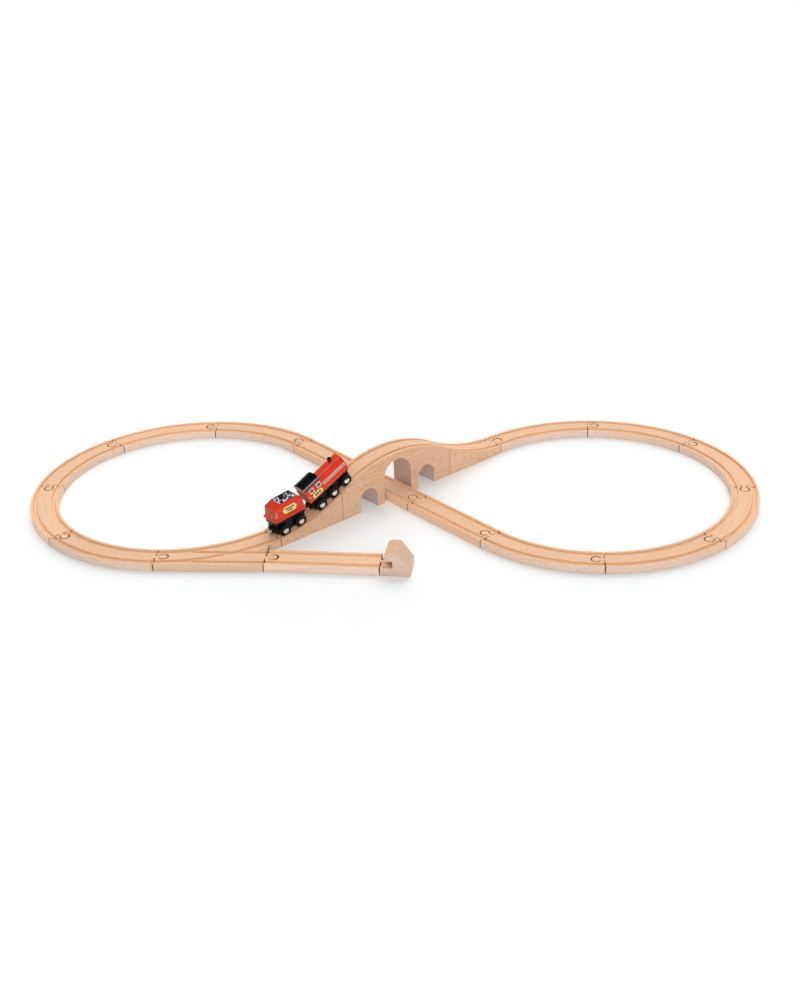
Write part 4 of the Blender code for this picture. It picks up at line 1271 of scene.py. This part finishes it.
def build_tender(wheel, axle):
    stance = vehicle_frame("tender")
    chassis = chassis_mesh(TENDER_REAR, TENDER_FRONT, TENDER_SOLE_TOP, [-1, 1])
    stand_in("tender_chassis", chassis, stance, 0.5 * MM)
    stand_in("tender_body", tender_body_mesh(), stance, 0.5 * MM, crease=8)
    stand_in("tender_coal", coal_mesh(), stance, crease=50)
    for end in ("rear", "front"):
        add_wheelset("tender", end, wheel, axle, stance)
    add_coupling("tender_rear", -1, stance)
    add_coupling("tender_front", 1, stance)
    panels = {"rear_face": tender_rear_panels()}
    for name, side in (("left", 1), ("right", -1)):
        panels[f"side_print_{name}"] = tender_side_panels(side)
    add_print_and_painted_light("tender", panels, stance)


# Stage


def build_floor():
    mesh = bpy.data.meshes.new("floor")
    corners = [(x, y, -0.02 * MM) for x, y in rectangle(0, 0, FLOOR_WIDTH, FLOOR_WIDTH)]
    mesh.from_pydata(corners, [], [range(4)])
    looks = {"Roughness": 0.9, "Specular_IOR_Level": 0.0}
    mesh.materials.append(new_material("floor", (0.96, 0.965, 0.97), **looks)[0])
    in_scene("floor", mesh)


def add_sun(name, towards, angle, strength, colour, glossy=True):
    """A distant lamp in a direction. A wide angle makes it soft."""
    light = bpy.data.lights.new(name, "SUN")
    light.angle = math.radians(angle)
    light.energy = strength
    light.color = colour
    lamp = in_scene(name, light)
    lamp.rotation_euler = Vector(towards).to_track_quat("Z", "Y").to_euler()
    lamp.visible_glossy = glossy


def build_light():
    """A white room for the camera, softer light for surfaces, and a dark ceiling in glosses."""
    world = bpy.data.worlds.new("studio")
    bpy.context.scene.world = world
    world.use_nodes = True
    tree = world.node_tree
    tree.nodes.clear()
    direction = add(tree, "TexCoord").outputs["Generated"]
    rise = add(tree, "SeparateXYZ", {"Vector": direction}).outputs["Z"]
    mirrored = spread_between(tree, rise, 0.02, 0.35, 0.45, 0.03)
    backgrounds = [
        add(tree, "Background", {"Color": (0.80, 0.92, 1.0, 1), "Strength": 0.22}),
        add(tree, "Background", {"Color": (0.95, 0.97, 1.0, 1), "Strength": mirrored}),
        add(tree, "Background", {"Color": (1, 1, 1, 1), "Strength": 1.0}),
    ]
    path = add(tree, "LightPath")
    shown = backgrounds[0].outputs[0]
    for kind, background in zip(("Is Glossy Ray", "Is Camera Ray"), backgrounds[1:]):
        inputs = {0: path.outputs[kind], 1: shown, 2: background.outputs[0]}
        shown = add(tree, "MixShader", inputs).outputs[0]
    add(tree, "OutputWorld", {"Surface": shown})

    add_sun("overhead", (0.0, 0.2, 1.0), 60, 0.25, (1.0, 0.99, 0.98), glossy=False)
    add_sun("ceiling_strip", (-0.04, -0.14, 0.99), 9, 0.2, (1.0, 0.96, 0.90))
    add_sun("rear", (0.0, 1.0, 0.74), 72, 2.5, (1.0, 0.96, 0.92), glossy=False)
    add_sun("front", (0.2, -1.0, 0.75), 50, 1.4, (0.96, 0.98, 1.0), glossy=False)


def build_camera():
    camera = bpy.data.cameras.new("camera")
    camera.lens = 47.192
    camera.shift_x = 0.004711
    camera.shift_y = -0.011384
    camera.clip_start = 0.05
    camera.clip_end = 80
    obj = in_scene("camera", camera)
    obj.location = (0.1753, -1.7457, 0.8997)
    obj.rotation_euler = (1.0994, 0.0375, 0.0762)
    bpy.context.scene.camera = obj


build_track()
wheel_shape = wheel_mesh()
axle_shape = axle_mesh()
build_engine(wheel_shape, axle_shape)
build_tender(wheel_shape, axle_shape)
build_floor()
build_light()
build_camera()
bpy.context.scene.view_settings.view_transform = "Standard"
